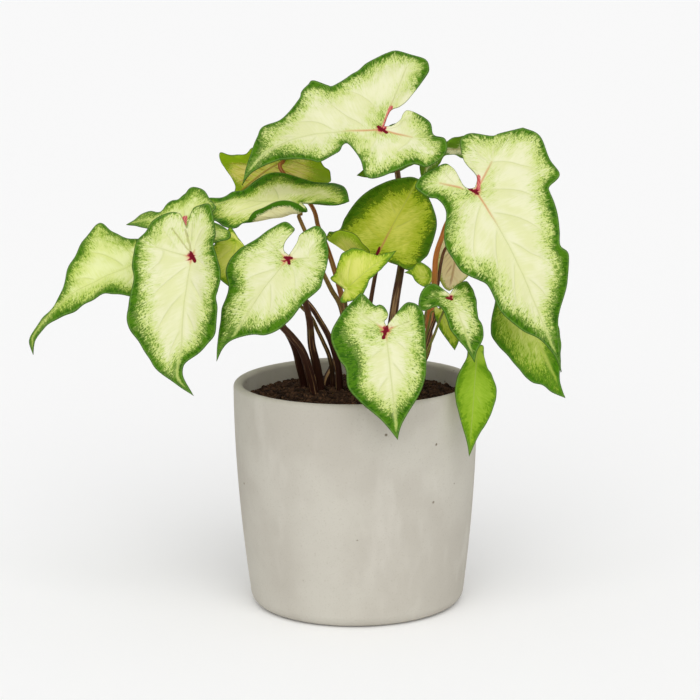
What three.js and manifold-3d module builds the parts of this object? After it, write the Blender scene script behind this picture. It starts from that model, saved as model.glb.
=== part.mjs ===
// A caladium growing in a round concrete pot: pot, soil, twenty petioles and twenty leaf blades.
// Millimetres, +Z up, the front of the plant towards -Y, origin in the middle of the pot's underside.
import * as THREE from 'three';
import { mergeVertices } from 'three/addons/utils/BufferGeometryUtils.js';
import Module from 'manifold-3d';

const wasm = await Module();
wasm.setup();

// Driving dimensions
const potHeight = 158;
const rimRadius = 85;
const wallThickness = 6.5;
const floorThickness = 9;
const potTaper = 10.9; // how much narrower the wall is at the foot than at the rim
const taperCurve = 1.9; // 1 is a straight cone, more keeps the wall upright near the rim
const uprightBelowRim = 10;
const footRounding = 9;
const soilEdgeHeight = 144.5;
const soilCrownHeight = 150;
const rootDepth = 22; // how far a petiole stands in the soil
const fitGap = 0.3; // between touching pieces
const bladeThickness = 0.8;
const roundSteps = 48;
const footSteps = 5;
const lipSteps = 6;
const wallHeights = [30, 55, 80, 105, 130]; // where the outer wall's curve is sampled
const innerHeights = [50, 95, 130];
const petioleSides = 7;
const petioleNeck = 0.8; // a petiole's thickness at its blade, as a share of its stated thickness
const petioleFlare = 1.1; // what its root has on top of that
const petioleReach = 9; // how far below its blade a petiole turns to meet it squarely
const veinFan = 0.42; // share of a blade's edge whose veins start at the petiole
const veinLean = 1.3; // more than 1 makes the later veins start lower on the midrib
const lobeRise = 4; // how fast the first veins' starts run out along the vein of a back lobe
const longBlade = 60; // blades longer than this get more columns
const columnsLong = 20;
const columnsShort = 10;
const paleGreen = 0xb4cc7a;
const limeGreen = 0x8cab33;

// A leaf blade is drawn flat: x across, y from the petiole towards the tip. Each half is outlined from
// the notch behind the petiole, round its back lobe, to the tip. The flat blade is waved and folded,
// bent upwards (or downwards, where the angle is negative) along hinge lines, and set in place.
//   spot: where the petiole meets the blade        aim: heading, fall and roll of the midrib, degrees
//   bends: [x, y, direction, radius, angle]        waves: [height, count, phase], right and left edge
//   fold: rise of the halves to either side        rings: faces from the midrib to the edge
//   lobes: where the veins that run back into the right and the left lobe end
//   stalk: the petiole's route from the soil       thick: the petiole's thickness
//   fan and reach, where given, take the place of veinFan and petioleReach
const leaves = {
  top: {
    spot: [19, -15, 334], aim: [-173, 15, -44], bends: [[0, 30, 90, 90, -22]],
    waves: [[3, 2, 0.1], [5, 2, 0.75]], rib: [[0, 0], [19, 73], [5, 104]], fan: 0.45,
    lobes: [[46, -32], [-14, -18]],
    right: [[2, -3], [13, -11], [14, -18], [18, -26], [33, -42], [41, -47], [51, -46], [64, -32],
      [65, -23], [63, -15], [59, -7], [54, 0], [52, 7], [46, 20], [48, 24], [57, 32], [55, 36],
      [51, 42], [46, 46], [39, 63], [42, 77], [36, 83], [26, 90], [16, 97], [5, 104]],
    left: [[2, -3], [1, -8], [4, -15], [8, -18], [10, -22], [4, -28], [-8, -33], [-19, -32],
      [-26, -38], [-37, -35], [-42, -20], [-34, -11], [-35, 10], [-31, 20], [-18, 20], [-5, 24],
      [-5, 28], [-11, 33], [-13, 46], [-8, 52], [5, 69], [8, 76], [10, 94], [5, 104]],
    thick: 4.6, reach: 12,
    stalk: [[22, 14, 150], [25, 12, 184], [29, 20, 211], [34, 32, 239], [34, 42, 268], [31, 40, 300],
      [26, 22, 316]],
  },
  right: {
    spot: [82, -45, 295], aim: [-42, 46, 32], bends: [[0, 20, 90, 120, -28]],
    waves: [[3, 2.5, 0.2], [3, 2.5, 0.6]], rib: [[0, 0], [6, 120], [8, 136]],
    lobes: [[18, -17], [-22, -14]],
    right: [[-1, -3], [3, -4], [5, -8], [4, -19], [5, -24], [8, -28], [22, -29], [29, -27],
      [33, -24], [33, -20], [30, -12], [26, -7], [27, 4], [37, 17], [41, 25], [41, 34], [40, 44],
      [36, 50], [31, 56], [28, 62], [29, 76], [28, 84], [24, 93], [20, 100], [13, 108], [9, 117],
      [7, 126], [8, 136]],
    left: [[-1, -3], [-7, -10], [-6, -24], [-11, -37], [-15, -40], [-22, -39], [-32, -30],
      [-38, -29], [-53, -26], [-56, -24], [-62, -14], [-59, 3], [-58, 16], [-47, 20], [-44, 25],
      [-39, 41], [-34, 51], [-29, 60], [-32, 68], [-24, 83], [-18, 91], [-11, 99], [-5, 107],
      [3, 125], [8, 136]],
    thick: 4,
    stalk: [[38, 8, 150], [50, 0, 178], [52, -8, 203], [55, -13, 227], [56, -16, 246],
      [60, -18, 260], [66, -20, 274]],
  },
  front: {
    spot: [20, -98, 211], aim: [-77, 61, 13], bends: [[0, 12, 90, 80, -22]],
    waves: [[2, 2, 0.1], [2, 2, 0.4]], rib: [[0, 0], [1, 73]],
    lobes: [[14, -13], [-16, -4]],
    right: [[-1, -3], [0, -6], [-2, -8], [-3, -11], [-1, -16], [2, -18], [5, -18], [12, -27],
      [17, -25], [28, -15], [36, -1], [33, 15], [29, 23], [29, 35], [21, 47], [10, 59], [1, 73]],
    left: [[-1, -3], [-7, -9], [-15, -17], [-20, -17], [-24, -14], [-26, -9], [-26, 0], [-25, 11],
      [-23, 30], [-20, 39], [-16, 46], [-5, 60], [-1, 67], [1, 73]],
    thick: 3.6,
    stalk: [[10, -4, 150], [12, -16, 180], [17, -55, 206]],
  },
  left_center: {
    spot: [-44, -75, 255], aim: [-149, 46, -36], bends: [[0, 15, 90, 90, -22]],
    waves: [[2, 2, 0.1], [2, 2, 0.4]], rib: [[0, 0], [2, 58], [6, 73], [5, 83]], fan: 0.45,
    lobes: [[18, -4], [-12, -8]],
    right: [[1, -3], [6, -4], [9, -9], [9, -19], [11, -21], [19, -21], [25, -10], [30, 5], [33, 13],
      [31, 28], [23, 36], [21, 44], [20, 52], [16, 61], [11, 71], [5, 83]],
    left: [[1, -3], [2, -13], [4, -20], [-1, -30], [-10, -29], [-15, -24], [-22, -17], [-31, 1],
      [-32, 8], [-28, 23], [-27, 34], [-23, 44], [-17, 51], [-9, 55], [-2, 61], [3, 67], [5, 74],
      [5, 83]],
    thick: 4.4,
    stalk: [[-25, 6, 150], [-27, 2, 168], [-30, -4, 184], [-31, -14, 202], [-34, -28, 220],
      [-37, -48, 237]],
  },
  left: {
    spot: [-108, -62, 255], aim: [-101, 64, 10], bends: [[0, 15, 90, 110, -18]], fold: 0.28,
    waves: [[2, 2, 0.1], [2, 2, 0.4]], rib: [[0, 0], [5, 60], [8, 80], [-2, 93]],
    lobes: [[24, -6], [-2, -5]],
    right: [[5, -20], [9, -28], [10, -30], [15, -31], [21, -29], [28, -24], [32, -17], [37, -11],
      [39, -3], [39, 7], [37, 15], [37, 24], [38, 33], [39, 41], [37, 49], [32, 57], [27, 67],
      [22, 75], [7, 87], [-2, 93]],
    left: [[5, -20], [3, -32], [0, -36], [-9, -37], [-13, -31], [-15, -23], [-18, -14], [-17, -7],
      [-21, 1], [-25, 11], [-26, 19], [-24, 25], [-22, 29], [-23, 36], [-22, 45], [-20, 53],
      [-14, 59], [-7, 65], [1, 70], [4, 74], [4, 81], [-2, 93]],
    thick: 4.2,
    stalk: [[-29, -6, 150], [-33, -10, 170], [-37, -12, 182], [-43, -14, 191], [-50, -15, 199],
      [-61, -17, 212], [-75, -21, 226], [-87, -24, 239], [-98, -31, 247]],
  },
  far_left: {
    spot: [-146, -26, 247], aim: [-179, 25, -37], bends: [[0, 40, 90, 60, -32]],
    waves: [[3, 2, 0.1], [3, 2, 0.4]], rib: [[0, 0], [1, 86], [-4, 98], [-13, 101]], fan: 0.25,
    right: [[0, -5], [3, -12], [8, -15], [14, -12], [25, 2], [42, 12], [54, 18], [49, 28], [34, 39],
      [16, 53], [9, 61], [6, 72], [7, 85], [2, 101], [-13, 101]],
    left: [[0, -5], [-13, -9], [-23, -10], [-30, -6], [-31, 8], [-21, 23], [-16, 30], [-14, 40],
      [-10, 61], [-5, 80], [-5, 93], [-8, 98], [-13, 101]],
    thick: 3.6,
    stalk: [[-36, 18, 150], [-39, 14, 165], [-42, 10, 179], [-48, 7, 192], [-59, 4, 207],
      [-72, 0, 221], [-87, -6, 232], [-113, -12, 241], [-133, -15, 244]],
  },
  left_back: {
    spot: [-113, -32, 275], aim: [166, 3, -30], bends: [[0, 15, 90, 60, -18]],
    waves: [[2, 2, 0.1], [2, 2, 0.4]], rib: [[0, 0], [8, 48]],
    right: [[1, -4], [3, -8], [7, -16], [14, -18], [22, -13], [36, -4], [38, 1], [35, 6], [28, 8],
      [23, 11], [23, 16], [15, 21], [14, 25], [17, 32], [16, 38], [11, 42], [8, 48]],
    left: [[1, -4], [0, -12], [-1, -19], [-7, -29], [-16, -35], [-23, -33], [-27, -25], [-24, -12],
      [-17, 2], [-12, 14], [-7, 24], [0, 36], [8, 48]],
    thick: 3.2,
    stalk: [[-11, 5, 150], [-12, 3, 167], [-17, 1, 186], [-24, -1, 200], [-32, -4, 213],
      [-48, -7, 229], [-71, -12, 246], [-87, -16, 256], [-101, -20, 263]],
  },
  center: {
    spot: [17, 12, 245], aim: [17, -60, 61], bends: [[0, 15, 90, 80, -12], [-26, -5, -89, 5, 128]],
    waves: [[0, 2, 0.1], [2, 2, 0.4]], rib: [[0, 0], [-1, 60]], rings: 6,
    right: [[0, -2], [9, -2], [16, -1], [25, 0], [30, 11], [31, 19], [26, 38], [13, 51], [-1, 60]],
    left: [[0, -2], [-1, -10], [-3, -28], [-9, -33], [-16, -37], [-24, -35], [-31, -27], [-38, -5],
      [-35, -1], [-32, 3], [-33, 12], [-30, 31], [-20, 47], [-8, 58], [-1, 60]],
    thick: 3.4, tint: limeGreen,
    stalk: [[6, 22, 150], [5, 24, 174], [11, 26, 206], [15, 24, 228]],
  },
  small: {
    spot: [-5, -38, 229], aim: [10, -34, 50], bends: [[0, 12, 90, 50, -20]],
    waves: [[2, 2, 0.1], [2, 2, 0.4]], rib: [[0, 0], [-5, 44]],
    right: [[0, -2], [2, -5], [5, -9], [8, -7], [10, 4], [9, 10], [6, 15], [4, 22], [-2, 37], [-5, 44]],
    left: [[0, -2], [-5, -3], [-14, -5], [-15, 0], [-22, 10], [-23, 16], [-21, 23], [-9, 30], [-7, 36],
      [-5, 44]],
    thick: 2.8, tint: limeGreen,
    stalk: [[-2, -7, 150], [-3, -11, 185], [-5, -18, 207], [-6, -26, 219]],
  },
  right_back: {
    spot: [109, -8, 215], aim: [-34, 58, 39], bends: [[0, 12, 90, 80, -20]],
    waves: [[2, 2, 0.1], [2, 2, 0.4]], rib: [[0, 0], [-8, 79]],
    right: [[0, -2], [1, -9], [6, -10], [18, 4], [23, 12], [25, 21], [20, 38], [12, 57], [4, 64],
      [0, 71], [-8, 79]],
    left: [[0, -2], [-10, -6], [-19, -4], [-22, 3], [-22, 26], [-20, 40], [-15, 53], [-9, 64],
      [-8, 71], [-8, 79]],
    thick: 3.2,
    stalk: [[42, 18, 150], [52, 20, 185], [55, 20, 210], [58, 20, 232], [61, 20, 247],
      [69, 20, 258], [84, 18, 259], [96, 12, 245], [105, 4, 229]],
  },
  long: {
    spot: [-37, -2, 283], aim: [176, 3, -24], bends: [[0, 30, 90, 100, -14], [-12, 0, -164, 4, 105]],
    waves: [[3, 1.5, 0.1], [0, 1.5, 0.4]], rib: [[0, 0], [15, 74]], rings: 6, fan: 0.36,
    right: [[-1, -2], [-4, -15], [-7, -28], [-5, -34], [1, -34], [13, -32], [23, -28], [28, -23],
      [29, -16], [36, 0], [43, 13], [39, 26], [24, 36], [19, 41], [20, 48], [18, 54], [22, 67],
      [15, 74]],
    left: [[-1, -2], [-10, -6], [-20, -4], [-28, 3], [-31, 12], [-31, 21], [-31, 28], [-27, 34],
      [-23, 38], [-26, 42], [-26, 47], [-18, 54], [-9, 60], [4, 67], [15, 74]],
    thick: 3.4,
    stalk: [[-3, 4, 150], [-5, 2, 179], [-9, 0, 208], [-16, 0, 222], [-22, 0, 235], [-28, 0, 250],
      [-34, 0, 264], [-38, 0, 274]],
  },
  back: {
    spot: [-49, 56, 306], aim: [139, 28, 41], bends: [[0, 12, 90, 60, -20]],
    waves: [[2, 2, 0.1], [2, 2, 0.4]], rib: [[0, 0], [-3, 53]], fan: 0.15,
    right: [[-2, -3], [-6, -14], [-4, -23], [5, -26], [21, -20], [27, -19], [32, -15], [37, -9],
      [37, -2], [33, 7], [19, 22], [13, 30], [8, 39], [4, 48], [-3, 53]],
    left: [[-2, -3], [-11, -11], [-18, -11], [-22, -2], [-22, 10], [-21, 18], [-26, 24], [-36, 28],
      [-30, 34], [-20, 38], [-13, 41], [-7, 45], [-3, 53]],
    thick: 3.6,
    stalk: [[-21, 20, 150], [-16, 22, 162], [-9, 26, 178], [-7, 32, 200], [-10, 38, 215],
      [-14, 44, 229], [-19, 50, 244], [-25, 55, 258], [-30, 59, 273]],
  },
  right_under: {
    spot: [73, 2, 258], aim: [127, 74, 51], bends: [[0, 12, 90, 60, -12]],
    waves: [[1, 2, 0.1], [1, 2, 0.4]], rib: [[0, 0], [1, 40]],
    right: [[0, -3], [3, -10], [9, -10], [13, -2], [15, 8], [14, 19], [11, 28], [4, 37], [1, 40]],
    left: [[0, -3], [-5, -7], [-10, -8], [-12, -3], [-13, 6], [-13, 17], [-11, 28], [-4, 38], [1, 40]],
    thick: 2.6,
    stalk: [[32, 20, 150], [49, 12, 176], [55, 3, 203], [58, -3, 226], [60, -6, 241],
      [63, -8, 251]],
  },
  left_inner: {
    spot: [-79, -38, 263], aim: [-135, 57, -22], bends: [[0, 10, 90, 40, -12]],
    waves: [[1, 2, 0.1], [1, 2, 0.4]], rib: [[0, 0], [-6, 32]],
    right: [[0, -2], [8, -7], [10, 0], [14, 4], [14, 11], [13, 19], [9, 25], [2, 29], [-6, 32]],
    left: [[0, -2], [-11, 5], [-15, 10], [-15, 15], [-10, 27], [-6, 32]],
    thick: 2.2, tint: limeGreen,
    stalk: [[-16, 12, 150], [-16, 11, 161], [-18, 10, 173], [-22, 9, 183], [-26, 8, 192],
      [-30, 7, 201], [-38, 6, 210], [-47, 5, 221], [-57, 4, 231], [-65, 3, 239], [-70, 0, 245],
      [-74, -15, 252]],
  },
  tiny: {
    spot: [53, -8, 230], aim: [152, -17, -64], bends: [],
    waves: [[0, 2, 0.1], [0, 2, 0.4]], rib: [[0, 0], [-3, 20]],
    right: [[0, -1], [6, 3], [8, 11], [7, 14], [2, 16], [-3, 20]],
    left: [[0, -1], [-4, -1], [-7, 2], [-6, 9], [-3, 14], [-3, 20]],
    thick: 1.8, tint: limeGreen,
    stalk: [[28, 6, 150], [42, 10, 177], [49, 9, 200], [52, 5, 215]],
  },
  small_right: {
    spot: [64, -70, 228], aim: [-52, 57, 22], bends: [[0, 8, 90, 50, -20]],
    waves: [[1, 2, 0.1], [1, 2, 0.4]], rib: [[0, 0], [-2, 47]],
    right: [[0, -2], [8, -12], [17, -10], [23, -1], [21, 4], [12, 4], [9, 9], [9, 14], [8, 23],
      [1, 37], [-2, 47]],
    left: [[0, -2], [-7, -7], [-15, -7], [-16, 4], [-13, 17], [-14, 23], [-14, 29], [-11, 35],
      [-6, 40], [-2, 47]],
    thick: 2,
    stalk: [[36, -14, 150], [47, -26, 175], [50, -34, 186], [54, -44, 198], [57, -54, 209]],
  },
  small_hanging: {
    spot: [58, -42, 213], aim: [-25, 68, 69], bends: [],
    waves: [[1, 2, 0.1], [1, 2, 0.4]], rib: [[0, 0], [0, 28]],
    right: [[0, -2], [2, -5], [4, -1], [5, 6], [4, 14], [0, 28]],
    left: [[0, -2], [-6, -2], [-9, 1], [-9, 8], [-6, 21], [0, 28]],
    thick: 1.8,
    stalk: [[28, -8, 150], [48, -6, 178], [50, -9, 191], [52, -18, 204], [53, -30, 211]],
  },
  lance: {
    spot: [82, -60, 191], aim: [-112, 79, -27], bends: [],
    waves: [[1, 1.5, 0.1], [1, 1.5, 0.4]], rib: [[0, 0], [1, 73]], fan: 0.1,
    right: [[0, -2], [6, 0], [7, 7], [12, 19], [13, 32], [9, 47], [3, 64], [1, 73]],
    left: [[0, -2], [-4, -2], [-5, 5], [-8, 13], [-11, 17], [-15, 29], [-11, 46], [-4, 60], [1, 73]],
    thick: 2.4, tint: limeGreen,
    stalk: [[43, -6, 150], [46, -11, 170], [49, -14, 181], [53, -20, 198], [60, -22, 213],
      [68, -32, 218], [75, -46, 214], [79, -56, 203]],
  },
  back_tip: {
    spot: [19, 48, 320], aim: [108, 36, 12], bends: [[0, 14, 90, 70, -24]],
    waves: [[2, 2, 0.1], [2, 2, 0.4]], rib: [[0, 0], [4, 36], [-6, 42]],
    right: [[0, -6], [2, -21], [12, -26], [22, -20], [31, -5], [34, 17], [27, 29], [17, 35], [4, 42],
      [-6, 42]],
    left: [[0, -6], [-11, -20], [-23, -22], [-27, -9], [-26, 4], [-22, 5], [-12, 10], [-4, 24],
      [-1, 33], [-6, 42]],
    thick: 3,
    stalk: [[14, 36, 150], [24, 44, 174], [30, 48, 206], [33, 50, 233], [34, 52, 266],
      [32, 51, 292], [28, 50, 306]],
  },
  rear_right: {
    spot: [90, 44, 313], aim: [160, 5, 45], bends: [[0, 14, 90, 70, -24]],
    waves: [[2, 2, 0.1], [2, 2, 0.4]], rib: [[0, 0], [-4, 26], [2, 38], [16, 49]],
    right: [[0, -2], [4, -3], [11, -7], [18, -2], [17, 4], [12, 8], [8, 17], [3, 26], [9, 34],
      [14, 41], [17, 45], [16, 49]],
    left: [[0, -2], [-3, -5], [-7, -11], [-11, -8], [-13, 0], [-14, 10], [-12, 21], [-10, 30],
      [-7, 39], [3, 46], [16, 49]],
    thick: 3,
    stalk: [[22, 34, 150], [42, 42, 174], [54, 46, 199], [62, 50, 230], [72, 53, 251],
      [86, 54, 268], [95, 53, 282], [96, 51, 299]],
  },
};

const degrees = Math.PI / 180;

function finish(name, geometry, material) {
  geometry.deleteAttribute('normal');
  geometry.deleteAttribute('uv');
  const welded = mergeVertices(geometry, 1e-3);
  const corners = welded.index.array;
  const kept = [];
  for (let i = 0; i < corners.length; i += 3) {
    const [a, b, c] = corners.slice(i, i + 3);
    if (a !== b && b !== c && c !== a) kept.push(a, b, c);
  }
  welded.setIndex(kept);
  welded.computeVertexNormals();
  const mesh = new THREE.Mesh(welded, material);
  mesh.name = name;
  return mesh;
}

// Pot

function outerRadius(height) {
  const tapered = potHeight - uprightBelowRim;
  const below = Math.max(0, tapered - height) / tapered;
  return rimRadius - potTaper * below ** taperCurve;
}

function arc(profile, x, y, radius, from, to, steps) {
  for (let i = 0; i <= steps; i += 1) {
    const angle = (from + ((to - from) * i) / steps) * degrees;
    profile.push(new THREE.Vector2(x + radius * Math.cos(angle), y + radius * Math.sin(angle)));
  }
}

function potMesh() {
  const lip = wallThickness / 2;
  const profile = [new THREE.Vector2(0, 0)];
  const foot = outerRadius(footRounding) - footRounding;
  arc(profile, foot, footRounding, footRounding, -90, -5, footSteps);
  for (const z of wallHeights) profile.push(new THREE.Vector2(outerRadius(z), z));
  arc(profile, rimRadius - lip, potHeight - lip, lip, 0, 180, lipSteps);
  for (const z of innerHeights.toReversed()) {
    profile.push(new THREE.Vector2(outerRadius(z) - wallThickness, z));
  }
  profile.push(new THREE.Vector2(outerRadius(floorThickness) - wallThickness, floorThickness));
  profile.push(new THREE.Vector2(0, floorThickness));
  const geometry = new THREE.LatheGeometry(profile, roundSteps).rotateX(Math.PI / 2);
  const concrete = new THREE.MeshStandardMaterial({ color: 0xc4beb4, roughness: 0.85, metalness: 0 });
  return finish('pot', geometry, concrete);
}

// Petioles: round stalks that taper from the soil to the blade

function placed(leaf) {
  const [heading, fall, roll] = leaf.aim.map((angle) => angle * degrees);
  const along = new THREE.Vector3(
    Math.cos(heading) * Math.cos(fall), Math.sin(heading) * Math.cos(fall), -Math.sin(fall));
  const level = new THREE.Vector3(
    Math.cos(heading) * Math.sin(fall), Math.sin(heading) * Math.sin(fall), Math.cos(fall));
  const face = level.applyAxisAngle(along, roll);
  const across = along.clone().cross(face);
  return { across, along, face, spot: new THREE.Vector3(...leaf.spot) };
}

function petioleRoute(leaf) {
  const { face, spot } = placed(leaf);
  const end = spot.clone().addScaledVector(face, -(bladeThickness / 2 + fitGap));
  const bow = end.clone().addScaledVector(face, -(leaf.reach ?? petioleReach));
  const [x, y, z] = leaf.stalk[0];
  const root = new THREE.Vector3(x, y, z - rootDepth);
  const points = [root, ...leaf.stalk.map((point) => new THREE.Vector3(...point)), bow, end];
  return new THREE.CatmullRomCurve3(points, false, 'catmullrom', 0.5);
}

function petioleGeometry(leaf, extra = 0) {
  const route = petioleRoute(leaf);
  const steps = 2 * (leaf.stalk.length + 2);
  const frames = route.computeFrenetFrames(steps, false);
  const geometry = new THREE.CylinderGeometry(1, 1, 1, petioleSides, steps);
  const position = geometry.attributes.position;
  const vertex = new THREE.Vector3();
  for (let i = 0; i < position.count; i += 1) {
    vertex.fromBufferAttribute(position, i);
    const share = vertex.y + 0.5;
    const step = Math.round(share * steps);
    const radius = (leaf.thick / 2) * (petioleNeck + petioleFlare * (1 - share) ** 2) + extra;
    const { x, z } = vertex;
    vertex.copy(route.getPointAt(share));
    vertex.addScaledVector(frames.normals[step], radius * z);
    vertex.addScaledVector(frames.binormals[step], radius * x);
    if (step === 0) vertex.addScaledVector(frames.tangents[0], -extra);
    position.setXYZ(i, vertex.x, vertex.y, vertex.z);
  }
  return geometry;
}

function petioleMesh(name, leaf) {
  const skin = new THREE.MeshStandardMaterial({ color: 0x5b3a2c, roughness: 0.55, metalness: 0 });
  return finish(`petiole_${name}`, petioleGeometry(leaf), skin);
}

// Soil: a low dome that fills the pot, with a plain hole for each petiole

function solidOf(mesh) {
  return new wasm.Manifold(new wasm.Mesh({
    numProp: 3,
    vertProperties: Float32Array.from(mesh.geometry.attributes.position.array),
    triVerts: Uint32Array.from(mesh.geometry.index.array),
  }));
}

function soilMesh() {
  const earth = new THREE.MeshStandardMaterial({ color: 0x33231a, roughness: 1, metalness: 0 });
  const clear = wallThickness + fitGap;
  const bottom = floorThickness + fitGap;
  const profile = [new THREE.Vector2(0, bottom)];
  for (const z of [bottom, ...innerHeights, soilEdgeHeight]) {
    profile.push(new THREE.Vector2(outerRadius(z) - clear, z));
  }
  for (const share of [0.85, 0.6, 0.3]) {
    const rise = (soilCrownHeight - soilEdgeHeight) * Math.cos((share * Math.PI) / 2);
    const out = share * (outerRadius(soilEdgeHeight) - clear);
    profile.push(new THREE.Vector2(out, soilEdgeHeight + rise));
  }
  profile.push(new THREE.Vector2(0, soilCrownHeight));
  const dome = finish('dome', new THREE.LatheGeometry(profile, roundSteps).rotateX(Math.PI / 2), earth);
  let solid = solidOf(dome);
  for (const leaf of Object.values(leaves)) {
    solid = solid.subtract(solidOf(finish('hole', petioleGeometry(leaf, fitGap), earth)));
  }
  const cut = solid.getMesh();
  const geometry = new THREE.BufferGeometry();
  geometry.setAttribute('position', new THREE.Float32BufferAttribute(cut.vertProperties, 3));
  geometry.setIndex(Array.from(cut.triVerts));
  return finish('soil', geometry, earth);
}

// Leaf blades

function bend(point, [x, y, direction, radius, angle]) {
  const turn = Math.abs(angle) * degrees;
  const up = Math.sign(angle);
  const cos = Math.cos(direction * degrees);
  const sin = Math.sin(direction * degrees);
  const past = (point.x - x) * cos + (point.y - y) * sin;
  if (past <= 0) return;
  const height = point.z * up;
  const reached = Math.min(past, radius * turn) / radius;
  const rest = Math.max(0, past - radius * turn);
  const moved = (radius - height) * Math.sin(reached) + rest * Math.cos(turn);
  point.x += (moved - past) * cos;
  point.y += (moved - past) * sin;
  point.z = up * (radius - (radius - height) * Math.cos(reached) + rest * Math.sin(turn));
}

function shaped(leaf, side, x, y, z, outward, round) {
  const [height, count, phase] = leaf.waves[side > 0 ? 0 : 1];
  const fade = outward ** 2 * Math.sin(Math.PI * round);
  const wave = height * fade * Math.sin(2 * Math.PI * (count * round + phase));
  const rise = (leaf.fold ?? 0) * (Math.hypot(x, 4) - 4);
  const point = new THREE.Vector3(x, y, z + wave + rise);
  for (const hinge of leaf.bends) bend(point, hinge);
  return point;
}

function curveOf(points) {
  return new THREE.SplineCurve(points.map(([x, y]) => new THREE.Vector2(x, y)));
}

function bladeGeometry(leaf) {
  const length = leaf.rib[leaf.rib.length - 1][1];
  const columns = length > longBlade ? columnsLong : columnsShort;
  const rings = leaf.rings ?? 3;
  const basal = Math.round((leaf.fan ?? veinFan) * columns);
  const rib = curveOf(leaf.rib);
  const corners = [];
  const triangles = [];
  for (const side of [1, -1]) {
    const edge = curveOf(side > 0 ? leaf.right : leaf.left).getSpacedPoints(columns);
    const lobe = new THREE.Vector2(...(leaf.lobes?.[side > 0 ? 0 : 1] ?? [0, 0]));
    const first = corners.length / 6;
    edge.forEach((tip, i) => {
      const round = i / columns;
      const down = (Math.max(0, i - basal) / (columns - basal)) ** veinLean;
      const back = Math.min(1, (lobeRise * Math.max(0, Math.min(i, basal - i))) / basal);
      const root = rib.getPointAt(down).addScaledVector(lobe, back);
      for (let j = 0; j <= rings; j += 1) {
        const outward = j / rings;
        const flat = root.clone().lerp(tip, outward);
        for (const z of [bladeThickness / 2, -bladeThickness / 2]) {
          corners.push(...shaped(leaf, side, flat.x, flat.y, z, outward, round).toArray());
        }
      }
    });
    const at = (i, j, under) => 2 * (first + i * (rings + 1) + j) + (under ? 1 : 0);
    const face = (a, b, c) => triangles.push(...(side > 0 ? [a, b, c] : [a, c, b]));
    for (let i = 0; i < columns; i += 1) {
      for (let j = 0; j < rings; j += 1) {
        face(at(i, j), at(i, j + 1), at(i + 1, j + 1));
        face(at(i, j), at(i + 1, j + 1), at(i + 1, j));
        face(at(i, j, true), at(i + 1, j + 1, true), at(i, j + 1, true));
        face(at(i, j, true), at(i + 1, j, true), at(i + 1, j + 1, true));
      }
      face(at(i, rings), at(i, rings, true), at(i + 1, rings, true));
      face(at(i, rings), at(i + 1, rings, true), at(i + 1, rings));
    }
  }
  const geometry = new THREE.BufferGeometry();
  geometry.setAttribute('position', new THREE.Float32BufferAttribute(corners, 3));
  geometry.setIndex(triangles);
  return geometry;
}

function bladeMesh(name, leaf) {
  const color = leaf.tint ?? paleGreen;
  const tissue = new THREE.MeshStandardMaterial({ color, roughness: 0.45, metalness: 0 });
  const mesh = finish(`leaf_${name}`, bladeGeometry(leaf), tissue);
  const { across, along, face, spot } = placed(leaf);
  mesh.position.copy(spot);
  mesh.quaternion.setFromRotationMatrix(new THREE.Matrix4().makeBasis(across, along, face));
  return mesh;
}

const caladium = new THREE.Group();
caladium.name = 'caladium';
caladium.add(potMesh(), soilMesh());
for (const [name, leaf] of Object.entries(leaves)) {
  caladium.add(petioleMesh(name, leaf), bladeMesh(name, leaf));
}

export default caladium;
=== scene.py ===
import math
import random
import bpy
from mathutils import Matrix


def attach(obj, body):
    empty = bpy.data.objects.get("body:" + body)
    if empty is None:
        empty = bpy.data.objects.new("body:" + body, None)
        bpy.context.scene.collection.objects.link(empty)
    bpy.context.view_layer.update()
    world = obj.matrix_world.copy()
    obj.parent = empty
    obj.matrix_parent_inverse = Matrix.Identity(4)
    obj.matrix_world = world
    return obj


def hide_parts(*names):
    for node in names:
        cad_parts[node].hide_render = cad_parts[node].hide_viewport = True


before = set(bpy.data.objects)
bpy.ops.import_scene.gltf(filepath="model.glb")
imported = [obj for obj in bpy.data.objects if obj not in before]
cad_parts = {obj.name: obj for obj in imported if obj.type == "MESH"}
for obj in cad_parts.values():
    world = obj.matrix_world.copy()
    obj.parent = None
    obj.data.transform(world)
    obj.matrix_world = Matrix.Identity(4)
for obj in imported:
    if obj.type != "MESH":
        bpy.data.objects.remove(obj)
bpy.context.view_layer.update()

from types import SimpleNamespace

import bmesh
import bpy
from mathutils import Matrix, Vector, kdtree, noise

mm = 0.001
print("frame loaded")


def paint(code):  # a hex colour as Blender's linear red, green, blue and alpha
    channels = [int(code[i:i + 2], 16) / 255 for i in (0, 2, 4)]
    linear = [c / 12.92 if c < 0.04045 else ((c + 0.055) / 1.055) ** 2.4 for c in channels]
    return linear + [1.0]


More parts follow.
